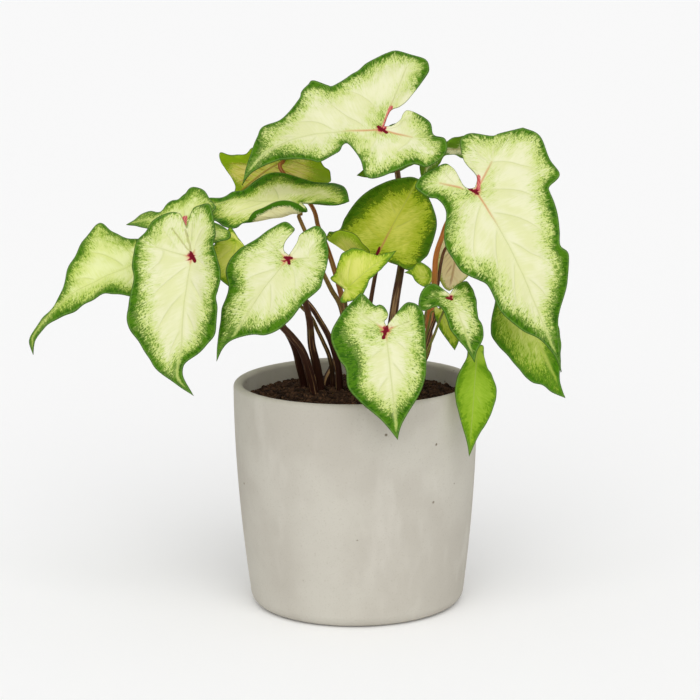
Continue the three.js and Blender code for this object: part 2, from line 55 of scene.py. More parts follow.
class Wire:  # a socket that takes part in sums, so that shader maths reads as an expression
    def __init__(self, tree, socket=None):
        self.tree = tree
        self.socket = socket

    def node(self, kind, settings=None, inputs=None, output=0):
        made = self.tree.nodes.new(kind)
        for key, value in (settings or {}).items():
            setattr(made, key, value)
        for key, value in (inputs or {}).items():
            if isinstance(value, Wire):
                self.tree.links.new(value.socket, made.inputs[key])
            else:
                made.inputs[key].default_value = value
        return Wire(self.tree, made.outputs[output])

    def maths(self, operation, *terms):
        return self.node("ShaderNodeMath", {"operation": operation}, dict(enumerate(terms)))

    def __add__(self, other):
        return self.maths("ADD", self, other)

    __radd__ = __add__

    def __sub__(self, other):
        return self.maths("SUBTRACT", self, other)

    def __rsub__(self, other):
        return self.maths("SUBTRACT", other, self)

    def __mul__(self, other):
        return self.maths("MULTIPLY", self, other)

    __rmul__ = __mul__

    def __truediv__(self, other):
        return self.maths("DIVIDE", self, other)

    def most(self, other):
        return self.maths("MAXIMUM", self, other)

    def size(self):
        return self.maths("ABSOLUTE", self)

    def fraction(self):
        return self.maths("FRACT", self)

    def fade(self, low, high):  # 0 at low, 1 at high, smooth between
        span = {"Value": self, "From Min": low, "From Max": high}
        return self.node("ShaderNodeMapRange", {"interpolation_type": "SMOOTHSTEP"}, span)

    def line(self, low, high):  # 1 below low, 0 past high: a soft line round 0
        return 1 - self.fade(low, high)

    def split(self):
        parts = self.tree.nodes.new("ShaderNodeSeparateXYZ")
        self.tree.links.new(self.socket, parts.inputs[0])
        return [Wire(self.tree, out) for out in parts.outputs]

    def blend(self, first, second, share):
        return self.node("ShaderNodeMix", {"data_type": "RGBA"}, {0: share, 6: first, 7: second}, 2)

    def over(self, top, share):  # this colour with another over it
        return self.blend(self, top, share)

    def attribute(self, name):
        return self.node("ShaderNodeAttribute", {"attribute_name": name}, {}, 1)

    def solid(self):  # Object coordinates
        return self.node("ShaderNodeTexCoord", {}, {}, 3)

    def grain(self, scale, detail=2.0, rough=0.6):
        inputs = {"Vector": self, "Scale": scale, "Detail": detail, "Roughness": rough}
        return self.node("ShaderNodeTexNoise", {}, inputs)

    def stretched(self, amounts, detail=2.0, rough=0.6, scale=1.0):  # grain drawn out along its axes
        drawn = self.node("ShaderNodeVectorMath", {"operation": "MULTIPLY"}, {0: self, 1: amounts})
        return drawn.grain(scale, detail, rough)


def newMaterial(name, fixed):
    material = bpy.data.materials.new(name)
    material.use_nodes = True
    skin = material.node_tree.nodes["Principled BSDF"]
    for key, value in fixed.items():
        skin.inputs[key].default_value = value
    return material, Wire(material.node_tree), skin


def plug(wire, skin, **values):
    names = {"colour": "Base Color", "roughness": "Roughness", "normal": "Normal"}
    for key, value in values.items():
        wire.tree.links.new(value.socket, skin.inputs[names[key]])


def bump(height, depth, strength=1.0):
    inputs = {"Strength": strength, "Distance": depth, "Height": height}
    return height.node("ShaderNodeBump", {}, inputs)


def finishPiece(title, mesh, node):
    data = bpy.data.meshes.new(title)
    mesh.to_mesh(data)
    mesh.free()
    piece = bpy.data.objects.new(title, data)
    bpy.context.scene.collection.objects.link(piece)
    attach(piece, "root")
    if node:
        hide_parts(node)
    return piece


def splineThrough(points, steps):  # Catmull-Rom through 2D or 3D points
    points = [Vector(p) for p in points]
    flat = len(points[0]) == 2
    before = points[0] if flat else points[0] * 2 - points[1]
    after = points[-1] if flat else points[-1] * 2 - points[-2]
    ring = [before] + points + [after]
    made = []
    for k in range(len(points) - 1):
        a, b, c, d = ring[k:k + 4]
        start, end = (c - a) / 2, (d - b) / 2
        for i in range(steps):
            w = i / steps
            cubic = (2 * b - 2 * c + start + end) * w ** 3
            square = (3 * c - 3 * b - 2 * start - end) * w ** 2
            made.append(cubic + square + start * w + b)
    return made + [points[-1]]


class Route:  # a curve that is read by its share of length
    def __init__(self, points, steps=24):
        self.points = splineThrough(points, steps)
        self.reached = [0.0]
        for a, b in zip(self.points, self.points[1:]):
            self.reached.append(self.reached[-1] + (b - a).length)
        self.length = self.reached[-1]

    def at(self, share):
        goal = min(max(share, 0.0), 1.0) * self.length
        low, high = 0, len(self.points) - 1
        while high - low > 1:
            middle = (low + high) // 2
            if self.reached[middle] <= goal:
                low = middle
            else:
                high = middle
        span = self.reached[high] - self.reached[low]
        return self.points[low].lerp(self.points[high], (goal - self.reached[low]) / span if span else 0)


# Leaves, in millimetres, with the part's own values: a blade is drawn flat, with its petiole at the origin
# and its tip towards +Y, then waved and folded, bent along hinge lines and set in place.
#   spot: where the petiole meets the blade       aim: heading, fall and roll of the midrib, degrees
#   bends: x, y, direction, radius, angle         waves: height, count, phase of the right and left edge
#   fold: rise of the halves to either side       lobes: where the first veins of the back lobes end
#   stalk: the petiole's route from the soil      thick: the petiole's thickness
#   fan and reach, where given, take the place of those in bladeShape
# What only the looks need:
#   greens: places where the green margin is wider or narrower, as x, y, radius, added width
#   stains: streaks in the blade, as start, end, radius, colour
#   skin, back: the looks of the two sides        veins: how many on each side of the midrib
#   clear: how far from the petiole the notch has no green margin
#   blush: how far from the petiole the midrib stays pink
#   spotScale: more than 1 makes the crimson spot smaller
#   warm, fresh: how orange and how green the petiole is
leaves = {
    "top": {
        "spot": [19, -15, 334], "aim": [-173, 15, -44], "bends": [[0, 30, 90, 90, -22]],
        "waves": [[3, 2, 0.1], [5, 2, 0.75]], "rib": [[0, 0], [19, 73], [5, 104]], "fan": 0.45,
        "lobes": [[46, -32], [-14, -18]],
        "right": [[2, -3], [13, -11], [14, -18], [18, -26], [33, -42], [41, -47], [51, -46], [64, -32],
            [65, -23], [63, -15], [59, -7], [54, 0], [52, 7], [46, 20], [48, 24], [57, 32], [55, 36],
            [51, 42], [46, 46], [39, 63], [42, 77], [36, 83], [26, 90], [16, 97], [5, 104]],
        "left": [[2, -3], [1, -8], [4, -15], [8, -18], [10, -22], [4, -28], [-8, -33], [-19, -32],
            [-26, -38], [-37, -35], [-42, -20], [-34, -11], [-35, 10], [-31, 20], [-18, 20], [-5, 24],
            [-5, 28], [-11, 33], [-13, 46], [-8, 52], [5, 69], [8, 76], [10, 94], [5, 104]],
        "greens": [[23, 81, 9, 5], [62, -30, 10, 3], [52, 33, 5, 3], [51, 20, 6, -5], [-9, 19, 6, -5],
            [-4, 59, 10, 1], [-36, 12, 6, 1], [-32, -32, 6, 2], [17, -26, 7, -5], [-7, 26, 4, 1],
            [17, -26, 10, -9], [13, -18, 9, -9], [3, -11, 9, -8], [14, 69, 12, 2], [42, 48, 10, 3],
            [28, -44, 12, 2]],
        "stains": [[[0, -2], [16, -12], 2.1, "pink"], [[3, 1], [-4, -3], 1.6, "crimson"]],
        "skin": "cream", "back": "pale", "veins": 8, "clear": 24, "blush": 30, "thick": 4.6, "reach": 12,
        "stalk": [[22, 14, 150], [25, 12, 184], [29, 20, 211], [34, 32, 239], [34, 42, 268],
            [31, 40, 300], [26, 22, 316]],
    },
    "right": {
        "spot": [82, -45, 295], "aim": [-42, 46, 32], "bends": [[0, 20, 90, 120, -28]],
        "waves": [[3, 2.5, 0.2], [3, 2.5, 0.6]], "rib": [[0, 0], [6, 120], [8, 136]],
        "lobes": [[18, -17], [-22, -14]],
        "right": [[-1, -3], [3, -4], [5, -8], [4, -19], [5, -24], [8, -28], [22, -29], [29, -27],
            [33, -24], [33, -20], [30, -12], [26, -7], [27, 4], [37, 17], [41, 25], [41, 34], [40, 44],
            [36, 50], [31, 56], [28, 62], [29, 76], [28, 84], [24, 93], [20, 100], [13, 108], [9, 117],
            [7, 126], [8, 136]],
        "left": [[-1, -3], [-7, -10], [-6, -24], [-11, -37], [-15, -40], [-22, -39], [-32, -30],
            [-38, -29], [-53, -26], [-56, -24], [-62, -14], [-59, 3], [-58, 16], [-47, 20], [-44, 25],
            [-39, 41], [-34, 51], [-29, 60], [-32, 68], [-24, 83], [-18, 91], [-11, 99], [-5, 107],
            [3, 125], [8, 136]],
        "greens": [[29, -24, 6, 4], [5, -20, 7, -5], [-8, -24, 6, -2], [-32, -31, 9, -5],
            [-36, 34, 13, 4], [-28, 68, 12, 6], [-15, 93, 13, 6], [23, 94, 10, 6], [21, 50, 9, 4],
            [28, 17, 6, 2], [4, 118, 6, 3], [-55, -23, 7, 1], [-7, -19, 9, -9], [-6, -8, 9, -9],
            [6, -14, 9, -7], [22, -4, 10, 3], [44, 23, 10, 2]],
        "stains": [[[-8, -9], [-2, 0], 1.8, "pink"], [[3, -4], [0, 2], 1.5, "crimson"]],
        "skin": "cream", "back": "pale", "veins": 9, "clear": 26, "blush": 34, "thick": 4, "warm": 1,
        "stalk": [[38, 8, 150], [50, 0, 178], [52, -8, 203], [55, -13, 227], [56, -16, 246],
            [60, -18, 260], [66, -20, 274]],
    },
    "front": {
        "spot": [20, -98, 211], "aim": [-77, 61, 13], "bends": [[0, 12, 90, 80, -22]],
        "waves": [[2, 2, 0.1], [2, 2, 0.4]], "rib": [[0, 0], [1, 73]], "lobes": [[14, -13], [-16, -4]],
        "right": [[-1, -3], [0, -6], [-2, -8], [-3, -11], [-1, -16], [2, -18], [5, -18], [12, -27],
            [17, -25], [28, -15], [36, -1], [33, 15], [29, 23], [29, 35], [21, 47], [10, 59], [1, 73]],
        "left": [[-1, -3], [-7, -9], [-15, -17], [-20, -17], [-24, -14], [-26, -9], [-26, 0], [-25, 11],
            [-23, 30], [-20, 39], [-16, 46], [-5, 60], [-1, 67], [1, 73]],
        "greens": [[32, 3, 10, 6], [28, 33, 9, 4], [-22, 17, 7, 1], [16, -21, 6, 2], [0, 63, 9, 10],
            [-1, -14, 4, 3], [4, -10, 7, -8], [-6, -7, 7, -8], [29, 20, 10, 5], [22, 11, 13, 8],
            [12, 2, 9, 4], [23, 26, 9, 4], [19, 48, 10, 4], [24, 12, 12, 3]],
        "stains": [[[-1, -2], [2, 5], 1.6, "crimson"]],
        "skin": "cream", "back": "pale", "veins": 6, "clear": 10, "blush": 9, "thick": 3.6,
        "stalk": [[10, -4, 150], [12, -16, 180], [17, -55, 206]],
    },
    "left_center": {
        "spot": [-44, -75, 255], "aim": [-149, 46, -36], "bends": [[0, 15, 90, 90, -22]],
        "waves": [[2, 2, 0.1], [2, 2, 0.4]], "rib": [[0, 0], [2, 58], [6, 73], [5, 83]], "fan": 0.45,
        "lobes": [[18, -4], [-12, -8]],
        "right": [[1, -3], [6, -4], [9, -9], [9, -19], [11, -21], [19, -21], [25, -10], [30, 5],
            [33, 13], [31, 28], [23, 36], [21, 44], [20, 52], [16, 61], [11, 71], [5, 83]],
        "left": [[1, -3], [2, -13], [4, -20], [-1, -30], [-10, -29], [-15, -24], [-22, -17], [-31, 1],
            [-32, 8], [-28, 23], [-27, 34], [-23, 44], [-17, 51], [-9, 55], [-2, 61], [3, 67], [5, 74],
            [5, 83]],
        "greens": [[24, 30, 9, 4], [26, 8, 7, 1], [14, -17, 6, 4], [-21, 42, 9, 5], [-24, -11, 9, -3],
            [6, 71, 7, 1], [16, 32, 7, 3], [9, -10, 9, -9], [1, -14, 9, -9], [4, 44, 12, 5],
            [8, 61, 10, 5], [-32, 16, 9, 3]],
        "stains": [[[2, 0], [-2, -2], 1.4, "crimson"], [[0, -1], [-3, 2], 1.5, "crimson"]],
        "skin": "cream", "back": "pale", "veins": 6, "clear": 14, "blush": 8, "thick": 4.4,
        "stalk": [[-25, 6, 150], [-27, 2, 168], [-30, -4, 184], [-31, -14, 202], [-34, -28, 220],
            [-37, -48, 237]],
    },
    "left": {
        "spot": [-108, -62, 255], "aim": [-101, 64, 10], "bends": [[0, 15, 90, 110, -18]],
        "waves": [[2, 2, 0.1], [2, 2, 0.4]], "fold": 0.28, "rib": [[0, 0], [5, 60], [8, 80], [-2, 93]],
        "lobes": [[24, -6], [-2, -5]],
        "right": [[5, -20], [9, -28], [10, -30], [15, -31], [21, -29], [28, -24], [32, -17], [37, -11],
            [39, -3], [39, 7], [37, 15], [37, 24], [38, 33], [39, 41], [37, 49], [32, 57], [27, 67],
            [22, 75], [7, 87], [-2, 93]],
        "left": [[5, -20], [3, -32], [0, -36], [-9, -37], [-13, -31], [-15, -23], [-18, -14], [-17, -7],
            [-21, 1], [-25, 11], [-26, 19], [-24, 25], [-22, 29], [-23, 36], [-22, 45], [-20, 53],
            [-14, 59], [-7, 65], [1, 70], [4, 74], [4, 81], [-2, 93]],
        "greens": [[35, 5, 10, 2], [-22, 6, 7, 2], [-16, 49, 9, 7], [30, 43, 9, 3], [-8, -33, 5, 3],
            [10, -31, 5, -2], [6, 79, 6, 4], [5, -17, 4, -6], [9, -24, 9, -8], [-2, -18, 9, -8],
            [31, 33, 12, 5], [25, 55, 10, 4], [-22, 49, 10, 3]],
        "stains": [[[1, -3], [-3, 3], 1.8, "crimson"], [[6, -19], [1, -5], 1.1, "olive"],
            [[15, -20], [3, -5], 0.8, "olive"]],
        "skin": "cream", "back": "pale", "veins": 7, "clear": 14, "blush": 7, "thick": 4.2,
        "stalk": [[-29, -6, 150], [-33, -10, 170], [-37, -12, 182], [-43, -14, 191], [-50, -15, 199],
            [-61, -17, 212], [-75, -21, 226], [-87, -24, 239], [-98, -31, 247]],
    },
    "far_left": {
        "spot": [-146, -26, 247], "aim": [-179, 25, -37], "bends": [[0, 40, 90, 60, -32]],
        "waves": [[3, 2, 0.1], [3, 2, 0.4]], "rib": [[0, 0], [1, 86], [-4, 98], [-13, 101]], "fan": 0.25,
        "right": [[0, -5], [3, -12], [8, -15], [14, -12], [25, 2], [42, 12], [54, 18], [49, 28],
            [34, 39], [16, 53], [9, 61], [6, 72], [7, 85], [2, 101], [-13, 101]],
        "left": [[0, -5], [-13, -9], [-23, -10], [-30, -6], [-31, 8], [-21, 23], [-16, 30], [-14, 40],
            [-10, 61], [-5, 80], [-5, 93], [-8, 98], [-13, 101]],
        "greens": [[-17, 18, 10, 3], [46, 38, 7, -2], [4, 52, 12, 3], [-10, 64, 10, 3],
            [-13, 23, 10, 4], [33, 34, 10, 3]],
        "skin": "meadow", "back": "pale", "veins": 6, "thick": 3.6,
        "stalk": [[-36, 18, 150], [-39, 14, 165], [-42, 10, 179], [-48, 7, 192], [-59, 4, 207],
            [-72, 0, 221], [-87, -6, 232], [-113, -12, 241], [-133, -15, 244]],
    },
    "left_back": {
        "spot": [-113, -32, 275], "aim": [166, 3, -30], "bends": [[0, 15, 90, 60, -18]],
        "waves": [[2, 2, 0.1], [2, 2, 0.4]], "rib": [[0, 0], [8, 48]],
        "right": [[1, -4], [3, -8], [7, -16], [14, -18], [22, -13], [36, -4], [38, 1], [35, 6], [28, 8],
            [23, 11], [23, 16], [15, 21], [14, 25], [17, 32], [16, 38], [11, 42], [8, 48]],
        "left": [[1, -4], [0, -12], [-1, -19], [-7, -29], [-16, -35], [-23, -33], [-27, -25],
            [-24, -12], [-17, 2], [-12, 14], [-7, 24], [0, 36], [8, 48]],
        "greens": [[31, 0, 7, 4], [9, 28, 7, 4], [20, 16, 6, 3], [9, 3, 4, -6]],
        "stains": [[[4, 2], [-8, 0], 2.6, "pink"]],
        "skin": "meadow", "back": "pale", "veins": 5, "thick": 3.2,
        "stalk": [[-11, 5, 150], [-12, 3, 167], [-17, 1, 186], [-24, -1, 200], [-32, -4, 213],
            [-48, -7, 229], [-71, -12, 246], [-87, -16, 256], [-101, -20, 263]],
    },
    "center": {
        "spot": [17, 12, 245], "aim": [17, -60, 61],
        "bends": [[0, 15, 90, 80, -12], [-26, -5, -89, 5, 128]], "waves": [[0, 2, 0.1], [2, 2, 0.4]],
        "rib": [[0, 0], [-1, 60]],
        "right": [[0, -2], [9, -2], [16, -1], [25, 0], [30, 11], [31, 19], [26, 38], [13, 51], [-1, 60]],
        "left": [[0, -2], [-1, -10], [-3, -28], [-9, -33], [-16, -37], [-24, -35], [-31, -27],
            [-38, -5], [-35, -1], [-32, 3], [-33, 12], [-30, 31], [-20, 47], [-8, 58], [-1, 60]],
        "greens": [[-33, 21, 16, 5], [-29, 35, 14, 3], [28, 17, 12, 4], [-23, 34, 16, 5],
            [-7, 52, 12, 5], [-29, 11, 9, 3], [23, 27, 9, 3], [-25, -3, 6, -3], [-21, 48, 12, 4]],
        "stains": [[[-1, 4], [4, -40], 1.2, "crimson"]],
        "skin": "lime", "back": "lime", "veins": 5, "blush": 26, "thick": 3.4,
        "stalk": [[6, 22, 150], [5, 24, 174], [11, 26, 206], [15, 24, 228]],
    },
    "small": {
        "spot": [-5, -38, 229], "aim": [10, -34, 50], "bends": [[0, 12, 90, 50, -20]],
        "waves": [[2, 2, 0.1], [2, 2, 0.4]], "rib": [[0, 0], [-5, 44]],
        "right": [[0, -2], [2, -5], [5, -9], [8, -7], [10, 4], [9, 10], [6, 15], [4, 22], [-2, 37],
            [-5, 44]],
        "left": [[0, -2], [-5, -3], [-14, -5], [-15, 0], [-22, 10], [-23, 16], [-21, 23], [-9, 30],
            [-7, 36], [-5, 44]],
        "greens": [[-20, 17, 6, 2], [12, 12, 5, 3]],
        "skin": "young", "back": "lime", "veins": 4, "thick": 2.8, "fresh": 0.3,
        "stalk": [[-2, -7, 150], [-3, -11, 185], [-5, -18, 207], [-6, -26, 219]],
    },
    "right_back": {
        "spot": [109, -8, 215], "aim": [-34, 58, 39], "bends": [[0, 12, 90, 80, -20]],
        "waves": [[2, 2, 0.1], [2, 2, 0.4]], "rib": [[0, 0], [-8, 79]],
        "right": [[0, -2], [1, -9], [6, -10], [18, 4], [23, 12], [25, 21], [20, 38], [12, 57], [4, 64],
            [0, 71], [-8, 79]],
        "left": [[0, -2], [-10, -6], [-19, -4], [-22, 3], [-22, 26], [-20, 40], [-15, 53], [-9, 64],
            [-8, 71], [-8, 79]],
        "greens": [[17, 20, 9, 4], [-7, 38, 10, 4], [-5, 52, 10, 6], [12, 55, 7, 4], [7, 17, 6, -3],
            [-2, 40, 12, 4], [-10, 62, 10, 5], [9, 28, 9, 3]],
        "skin": "shadedGreen", "back": "pale", "veins": 6, "blush": 10, "thick": 3.2, "warm": 0.9,
        "stalk": [[42, 18, 150], [52, 20, 185], [55, 20, 210], [58, 20, 232], [61, 20, 247],
            [69, 20, 258], [84, 18, 259], [96, 12, 245], [105, 4, 229]],
    },
    "long": {
        "spot": [-37, -2, 283], "aim": [176, 3, -24],
        "bends": [[0, 30, 90, 100, -14], [-12, 0, -164, 4, 105]], "waves": [[3, 1.5, 0.1], [0, 1.5, 0.4]],
        "rib": [[0, 0], [15, 74]], "fan": 0.36,
        "right": [[-1, -2], [-4, -15], [-7, -28], [-5, -34], [1, -34], [13, -32], [23, -28], [28, -23],
            [29, -16], [36, 0], [43, 13], [39, 26], [24, 36], [19, 41], [20, 48], [18, 54], [22, 67],
            [15, 74]],
        "left": [[-1, -2], [-10, -6], [-20, -4], [-28, 3], [-31, 12], [-31, 21], [-31, 28], [-27, 34],
            [-23, 38], [-26, 42], [-26, 47], [-18, 54], [-9, 60], [4, 67], [15, 74]],
        "greens": [[36, 29, 9, 6], [-43, 1, 10, 8], [35, 2, 9, 5], [25, -16, 9, 4], [31, 19, 9, 5],
            [25, 36, 7, 3], [28, 1, 6, 2], [14, -26, 7, 5], [-17, 48, 6, 2], [30, 8, 10, 5],
            [-30, -19, 10, 4], [19, 43, 10, 5], [11, 54, 10, 4]],
        "skin": "litCream", "back": "flap", "veins": 6, "thick": 3.4, "warm": 0.2, "fresh": 0.25,
        "stalk": [[-3, 4, 150], [-5, 2, 179], [-9, 0, 208], [-16, 0, 222], [-22, 0, 235], [-28, 0, 250],
            [-34, 0, 264], [-38, 0, 274]],
    },
    "back": {
        "spot": [-49, 56, 306], "aim": [139, 28, 41], "bends": [[0, 12, 90, 60, -20]],
        "waves": [[2, 2, 0.1], [2, 2, 0.4]], "rib": [[0, 0], [-3, 53]], "fan": 0.15,
        "right": [[-2, -3], [-6, -14], [-4, -23], [5, -26], [21, -20], [27, -19], [32, -15], [37, -9],
            [37, -2], [33, 7], [19, 22], [13, 30], [8, 39], [4, 48], [-3, 53]],
        "left": [[-2, -3], [-11, -11], [-18, -11], [-22, -2], [-22, 10], [-21, 18], [-26, 24],
            [-36, 28], [-30, 34], [-20, 38], [-13, 41], [-7, 45], [-3, 53]],
        "greens": [[-17, 34, 10, -8], [-7, 32, 9, -6], [9, 4, 10, -3], [25, -10, 9, 5], [-28, 29, 6, 6],
            [-16, 24, 6, 4]],
        "skin": "meadow", "back": "tan", "veins": 5, "thick": 3.6, "warm": 0.5,
        "stalk": [[-21, 20, 150], [-16, 22, 162], [-9, 26, 178], [-7, 32, 200], [-10, 38, 215],
            [-14, 44, 229], [-19, 50, 244], [-25, 55, 258], [-30, 59, 273]],
    },
    "right_under": {
        "spot": [73, 2, 258], "aim": [127, 74, 51], "bends": [[0, 12, 90, 60, -12]],
        "waves": [[1, 2, 0.1], [1, 2, 0.4]], "rib": [[0, 0], [1, 40]],
        "right": [[0, -3], [3, -10], [9, -10], [13, -2], [15, 8], [14, 19], [11, 28], [4, 37], [1, 40]],
        "left": [[0, -3], [-5, -7], [-10, -8], [-12, -3], [-13, 6], [-13, 17], [-11, 28], [-4, 38],
            [1, 40]],
        "greens": [[2, 28, 7, -3]],
        "skin": "meadow", "back": "rose", "veins": 5, "thick": 2.6,
        "stalk": [[32, 20, 150], [49, 12, 176], [55, 3, 203], [58, -3, 226], [60, -6, 241],
            [63, -8, 251]],
    },
    "left_inner": {
        "spot": [-79, -38, 263], "aim": [-135, 57, -22], "bends": [[0, 10, 90, 40, -12]],
        "waves": [[1, 2, 0.1], [1, 2, 0.4]], "rib": [[0, 0], [-6, 32]],
        "right": [[0, -2], [8, -7], [10, 0], [14, 4], [14, 11], [13, 19], [9, 25], [2, 29], [-6, 32]],
        "left": [[0, -2], [-11, 5], [-15, 10], [-15, 15], [-10, 27], [-6, 32]],
        "greens": [[4, -2, 6, 3]],
        "skin": "young", "back": "lime", "veins": 4, "thick": 2.2, "warm": 0.2, "fresh": 0.3,
        "stalk": [[-16, 12, 150], [-16, 11, 161], [-18, 10, 173], [-22, 9, 183], [-26, 8, 192],
            [-30, 7, 201], [-38, 6, 210], [-47, 5, 221], [-57, 4, 231], [-65, 3, 239], [-70, 0, 245],
            [-74, -15, 252]],
    },
    "tiny": {
        "spot": [53, -8, 230], "aim": [152, -17, -64], "bends": [], "waves": [[0, 2, 0.1], [0, 2, 0.4]],
        "rib": [[0, 0], [-3, 20]],
        "right": [[0, -1], [6, 3], [8, 11], [7, 14], [2, 16], [-3, 20]],
        "left": [[0, -1], [-4, -1], [-7, 2], [-6, 9], [-3, 14], [-3, 20]],
        "greens": [[2, 3, 4, 3]],
        "skin": "young", "back": "lime", "veins": 3, "thick": 1.8, "fresh": 0.7,
        "stalk": [[28, 6, 150], [42, 10, 177], [49, 9, 200], [52, 5, 215]],
    },
    "small_right": {
        "spot": [64, -70, 228], "aim": [-52, 57, 22], "bends": [[0, 8, 90, 50, -20]],
        "waves": [[1, 2, 0.1], [1, 2, 0.4]], "rib": [[0, 0], [-2, 47]],
        "right": [[0, -2], [8, -12], [17, -10], [23, -1], [21, 4], [12, 4], [9, 9], [9, 14], [8, 23],
            [1, 37], [-2, 47]],
        "left": [[0, -2], [-7, -7], [-15, -7], [-16, 4], [-13, 17], [-14, 23], [-14, 29], [-11, 35],
            [-6, 40], [-2, 47]],
        "greens": [[13, -5, 7, 7], [8, 18, 4, 5], [-6, 33, 6, 7], [-11, 6, 6, 2], [-2, 16, 4, -6]],
        "stains": [[[3, 0], [0, 2], 1.3, "crimson"]],
        "skin": "cream", "back": "pale", "veins": 5, "spotScale": 1.8, "thick": 2, "fresh": 0.8,
        "stalk": [[36, -14, 150], [47, -26, 175], [50, -34, 186], [54, -44, 198], [57, -54, 209]],
    },
    "small_hanging": {
        "spot": [58, -42, 213], "aim": [-25, 68, 69], "bends": [], "waves": [[1, 2, 0.1], [1, 2, 0.4]],
        "rib": [[0, 0], [0, 28]],
        "right": [[0, -2], [2, -5], [4, -1], [5, 6], [4, 14], [0, 28]],
        "left": [[0, -2], [-6, -2], [-9, 1], [-9, 8], [-6, 21], [0, 28]],
        "greens": [],
        "skin": "young", "back": "lime", "veins": 3, "thick": 1.8, "warm": 0.3, "fresh": 0.8,
        "stalk": [[28, -8, 150], [48, -6, 178], [50, -9, 191], [52, -18, 204], [53, -30, 211]],
    },
    "lance": {
        "spot": [82, -60, 191], "aim": [-112, 79, -27], "bends": [],
        "waves": [[1, 1.5, 0.1], [1, 1.5, 0.4]], "rib": [[0, 0], [1, 73]], "fan": 0.1,
        "right": [[0, -2], [6, 0], [7, 7], [12, 19], [13, 32], [9, 47], [3, 64], [1, 73]],
        "left": [[0, -2], [-4, -2], [-5, 5], [-8, 13], [-11, 17], [-15, 29], [-11, 46], [-4, 60],
            [1, 73]],
        "greens": [],
        "skin": "plain", "back": "lime", "veins": 5, "thick": 2.4,
        "stalk": [[43, -6, 150], [46, -11, 170], [49, -14, 181], [53, -20, 198], [60, -22, 213],
            [68, -32, 218], [75, -46, 214], [79, -56, 203]],
    },
    "back_tip": {
        "spot": [19, 48, 320], "aim": [108, 36, 12], "bends": [[0, 14, 90, 70, -24]],
        "waves": [[2, 2, 0.1], [2, 2, 0.4]], "rib": [[0, 0], [4, 36], [-6, 42]],
        "right": [[0, -6], [2, -21], [12, -26], [22, -20], [31, -5], [34, 17], [27, 29], [17, 35],
            [4, 42], [-6, 42]],
        "left": [[0, -6], [-11, -20], [-23, -22], [-27, -9], [-26, 4], [-22, 5], [-12, 10], [-4, 24],
            [-1, 33], [-6, 42]],
        "greens": [[0, 40, 4, 2]],
        "skin": "meadow", "back": "pale", "veins": 5, "thick": 3,
        "stalk": [[14, 36, 150], [24, 44, 174], [30, 48, 206], [33, 50, 233], [34, 52, 266],
            [32, 51, 292], [28, 50, 306]],
    },
    "rear_right": {
        "spot": [90, 44, 313], "aim": [160, 5, 45], "bends": [[0, 14, 90, 70, -24]],
        "waves": [[2, 2, 0.1], [2, 2, 0.4]], "rib": [[0, 0], [-4, 26], [2, 38], [16, 49]],
        "right": [[0, -2], [4, -3], [11, -7], [18, -2], [17, 4], [12, 8], [8, 17], [3, 26], [9, 34],
            [14, 41], [17, 45], [16, 49]],
        "left": [[0, -2], [-3, -5], [-7, -11], [-11, -8], [-13, 0], [-14, 10], [-12, 21], [-10, 30],
            [-7, 39], [3, 46], [16, 49]],
        "greens": [[-5, 17, 4, 6], [1, 21, 4, -4]],
        "skin": "meadow", "back": "pale", "veins": 5, "thick": 3, "warm": 0.9,
        "stalk": [[22, 34, 150], [42, 42, 174], [54, 46, 199], [62, 50, 230], [72, 53, 251],
            [86, 54, 268], [95, 53, 282], [96, 51, 299]],
    },
}


bladeShape = {
    "thickness": 0.8, "gap": 0.3, "fan": 0.42, "lean": 1.3, "reach": 9,
    "longBlade": 60, "columnsLong": 20, "columnsShort": 10, "lobeRise": 4,
    "edgeThin": 0.55,  # share of the thickness left at the very edge
    "thinBand": 2.5,  # how far from the edge the blade is thinner
    "quilt": 0.010,  # height of the pillows between veins, as a share of the blade's length
    "ruffle": 0.5, "ruffleCount": 9,
    "veinSweep": 0.17, "veinCurve": 1.3,  # how far the veins sweep forward on their way out
    "veinStart": 0.25,  # where each side's first vein stands, as a share of the space between two
    "veinsAtRib": 0.25,  # the space between two veins at the midrib, as a share of that at the edge
    "drift": 1.2, "driftScale": 0.06, "driftFrom": (4, 14),  # slow unevenness, away from the petiole
    "driftStep": 50,  # how far the unevenness moves on from one blade to the next
    "valley": 4,  # width of the rounding along the midrib of a folded blade
    "quiltOut": (0.05, 0.35), "quiltEdge": (1.0, 0.75), "quiltRib": (0, 12),  # where the pillows fade
    "rowSpacing": 1.5, "ringSpacing": 1.25, "fewestRings": 12,
    "edgeSamples": 600, "ribSamples": 200, "lobeSamples": 60, "weld": 0.002, "sliver": 0.001,
}

patternShape = {
    "clearShare": 0.12, "clearLeast": 4,  # the notch without margin, where a leaf doesn't say
    "clearCore": 0.4, "blushCore": 0.3,  # shares of clear and blush in which they are at their full
    "lobeBand": (0.16, 0.3), "tipBand": (0.72, 0.97),  # shares of the edge from the notch to the tip
    "streakCore": 0.4,  # share of a stain's radius in which it is at its full
    "flowStretch": 0.85, "flowStep": 37.0, "sideStep": 11.0,  # the grain's steps from one blade to the next
}


def placed(leaf):  # the blade's own three directions
    heading, fall, roll = (math.radians(a) for a in leaf["aim"])
    along = Vector((math.cos(heading) * math.cos(fall), math.sin(heading) * math.cos(fall), -math.sin(fall)))
    level = Vector((math.cos(heading) * math.sin(fall), math.sin(heading) * math.sin(fall), math.cos(fall)))
    face = Matrix.Rotation(roll, 3, along) @ level
    return along.cross(face), along, face


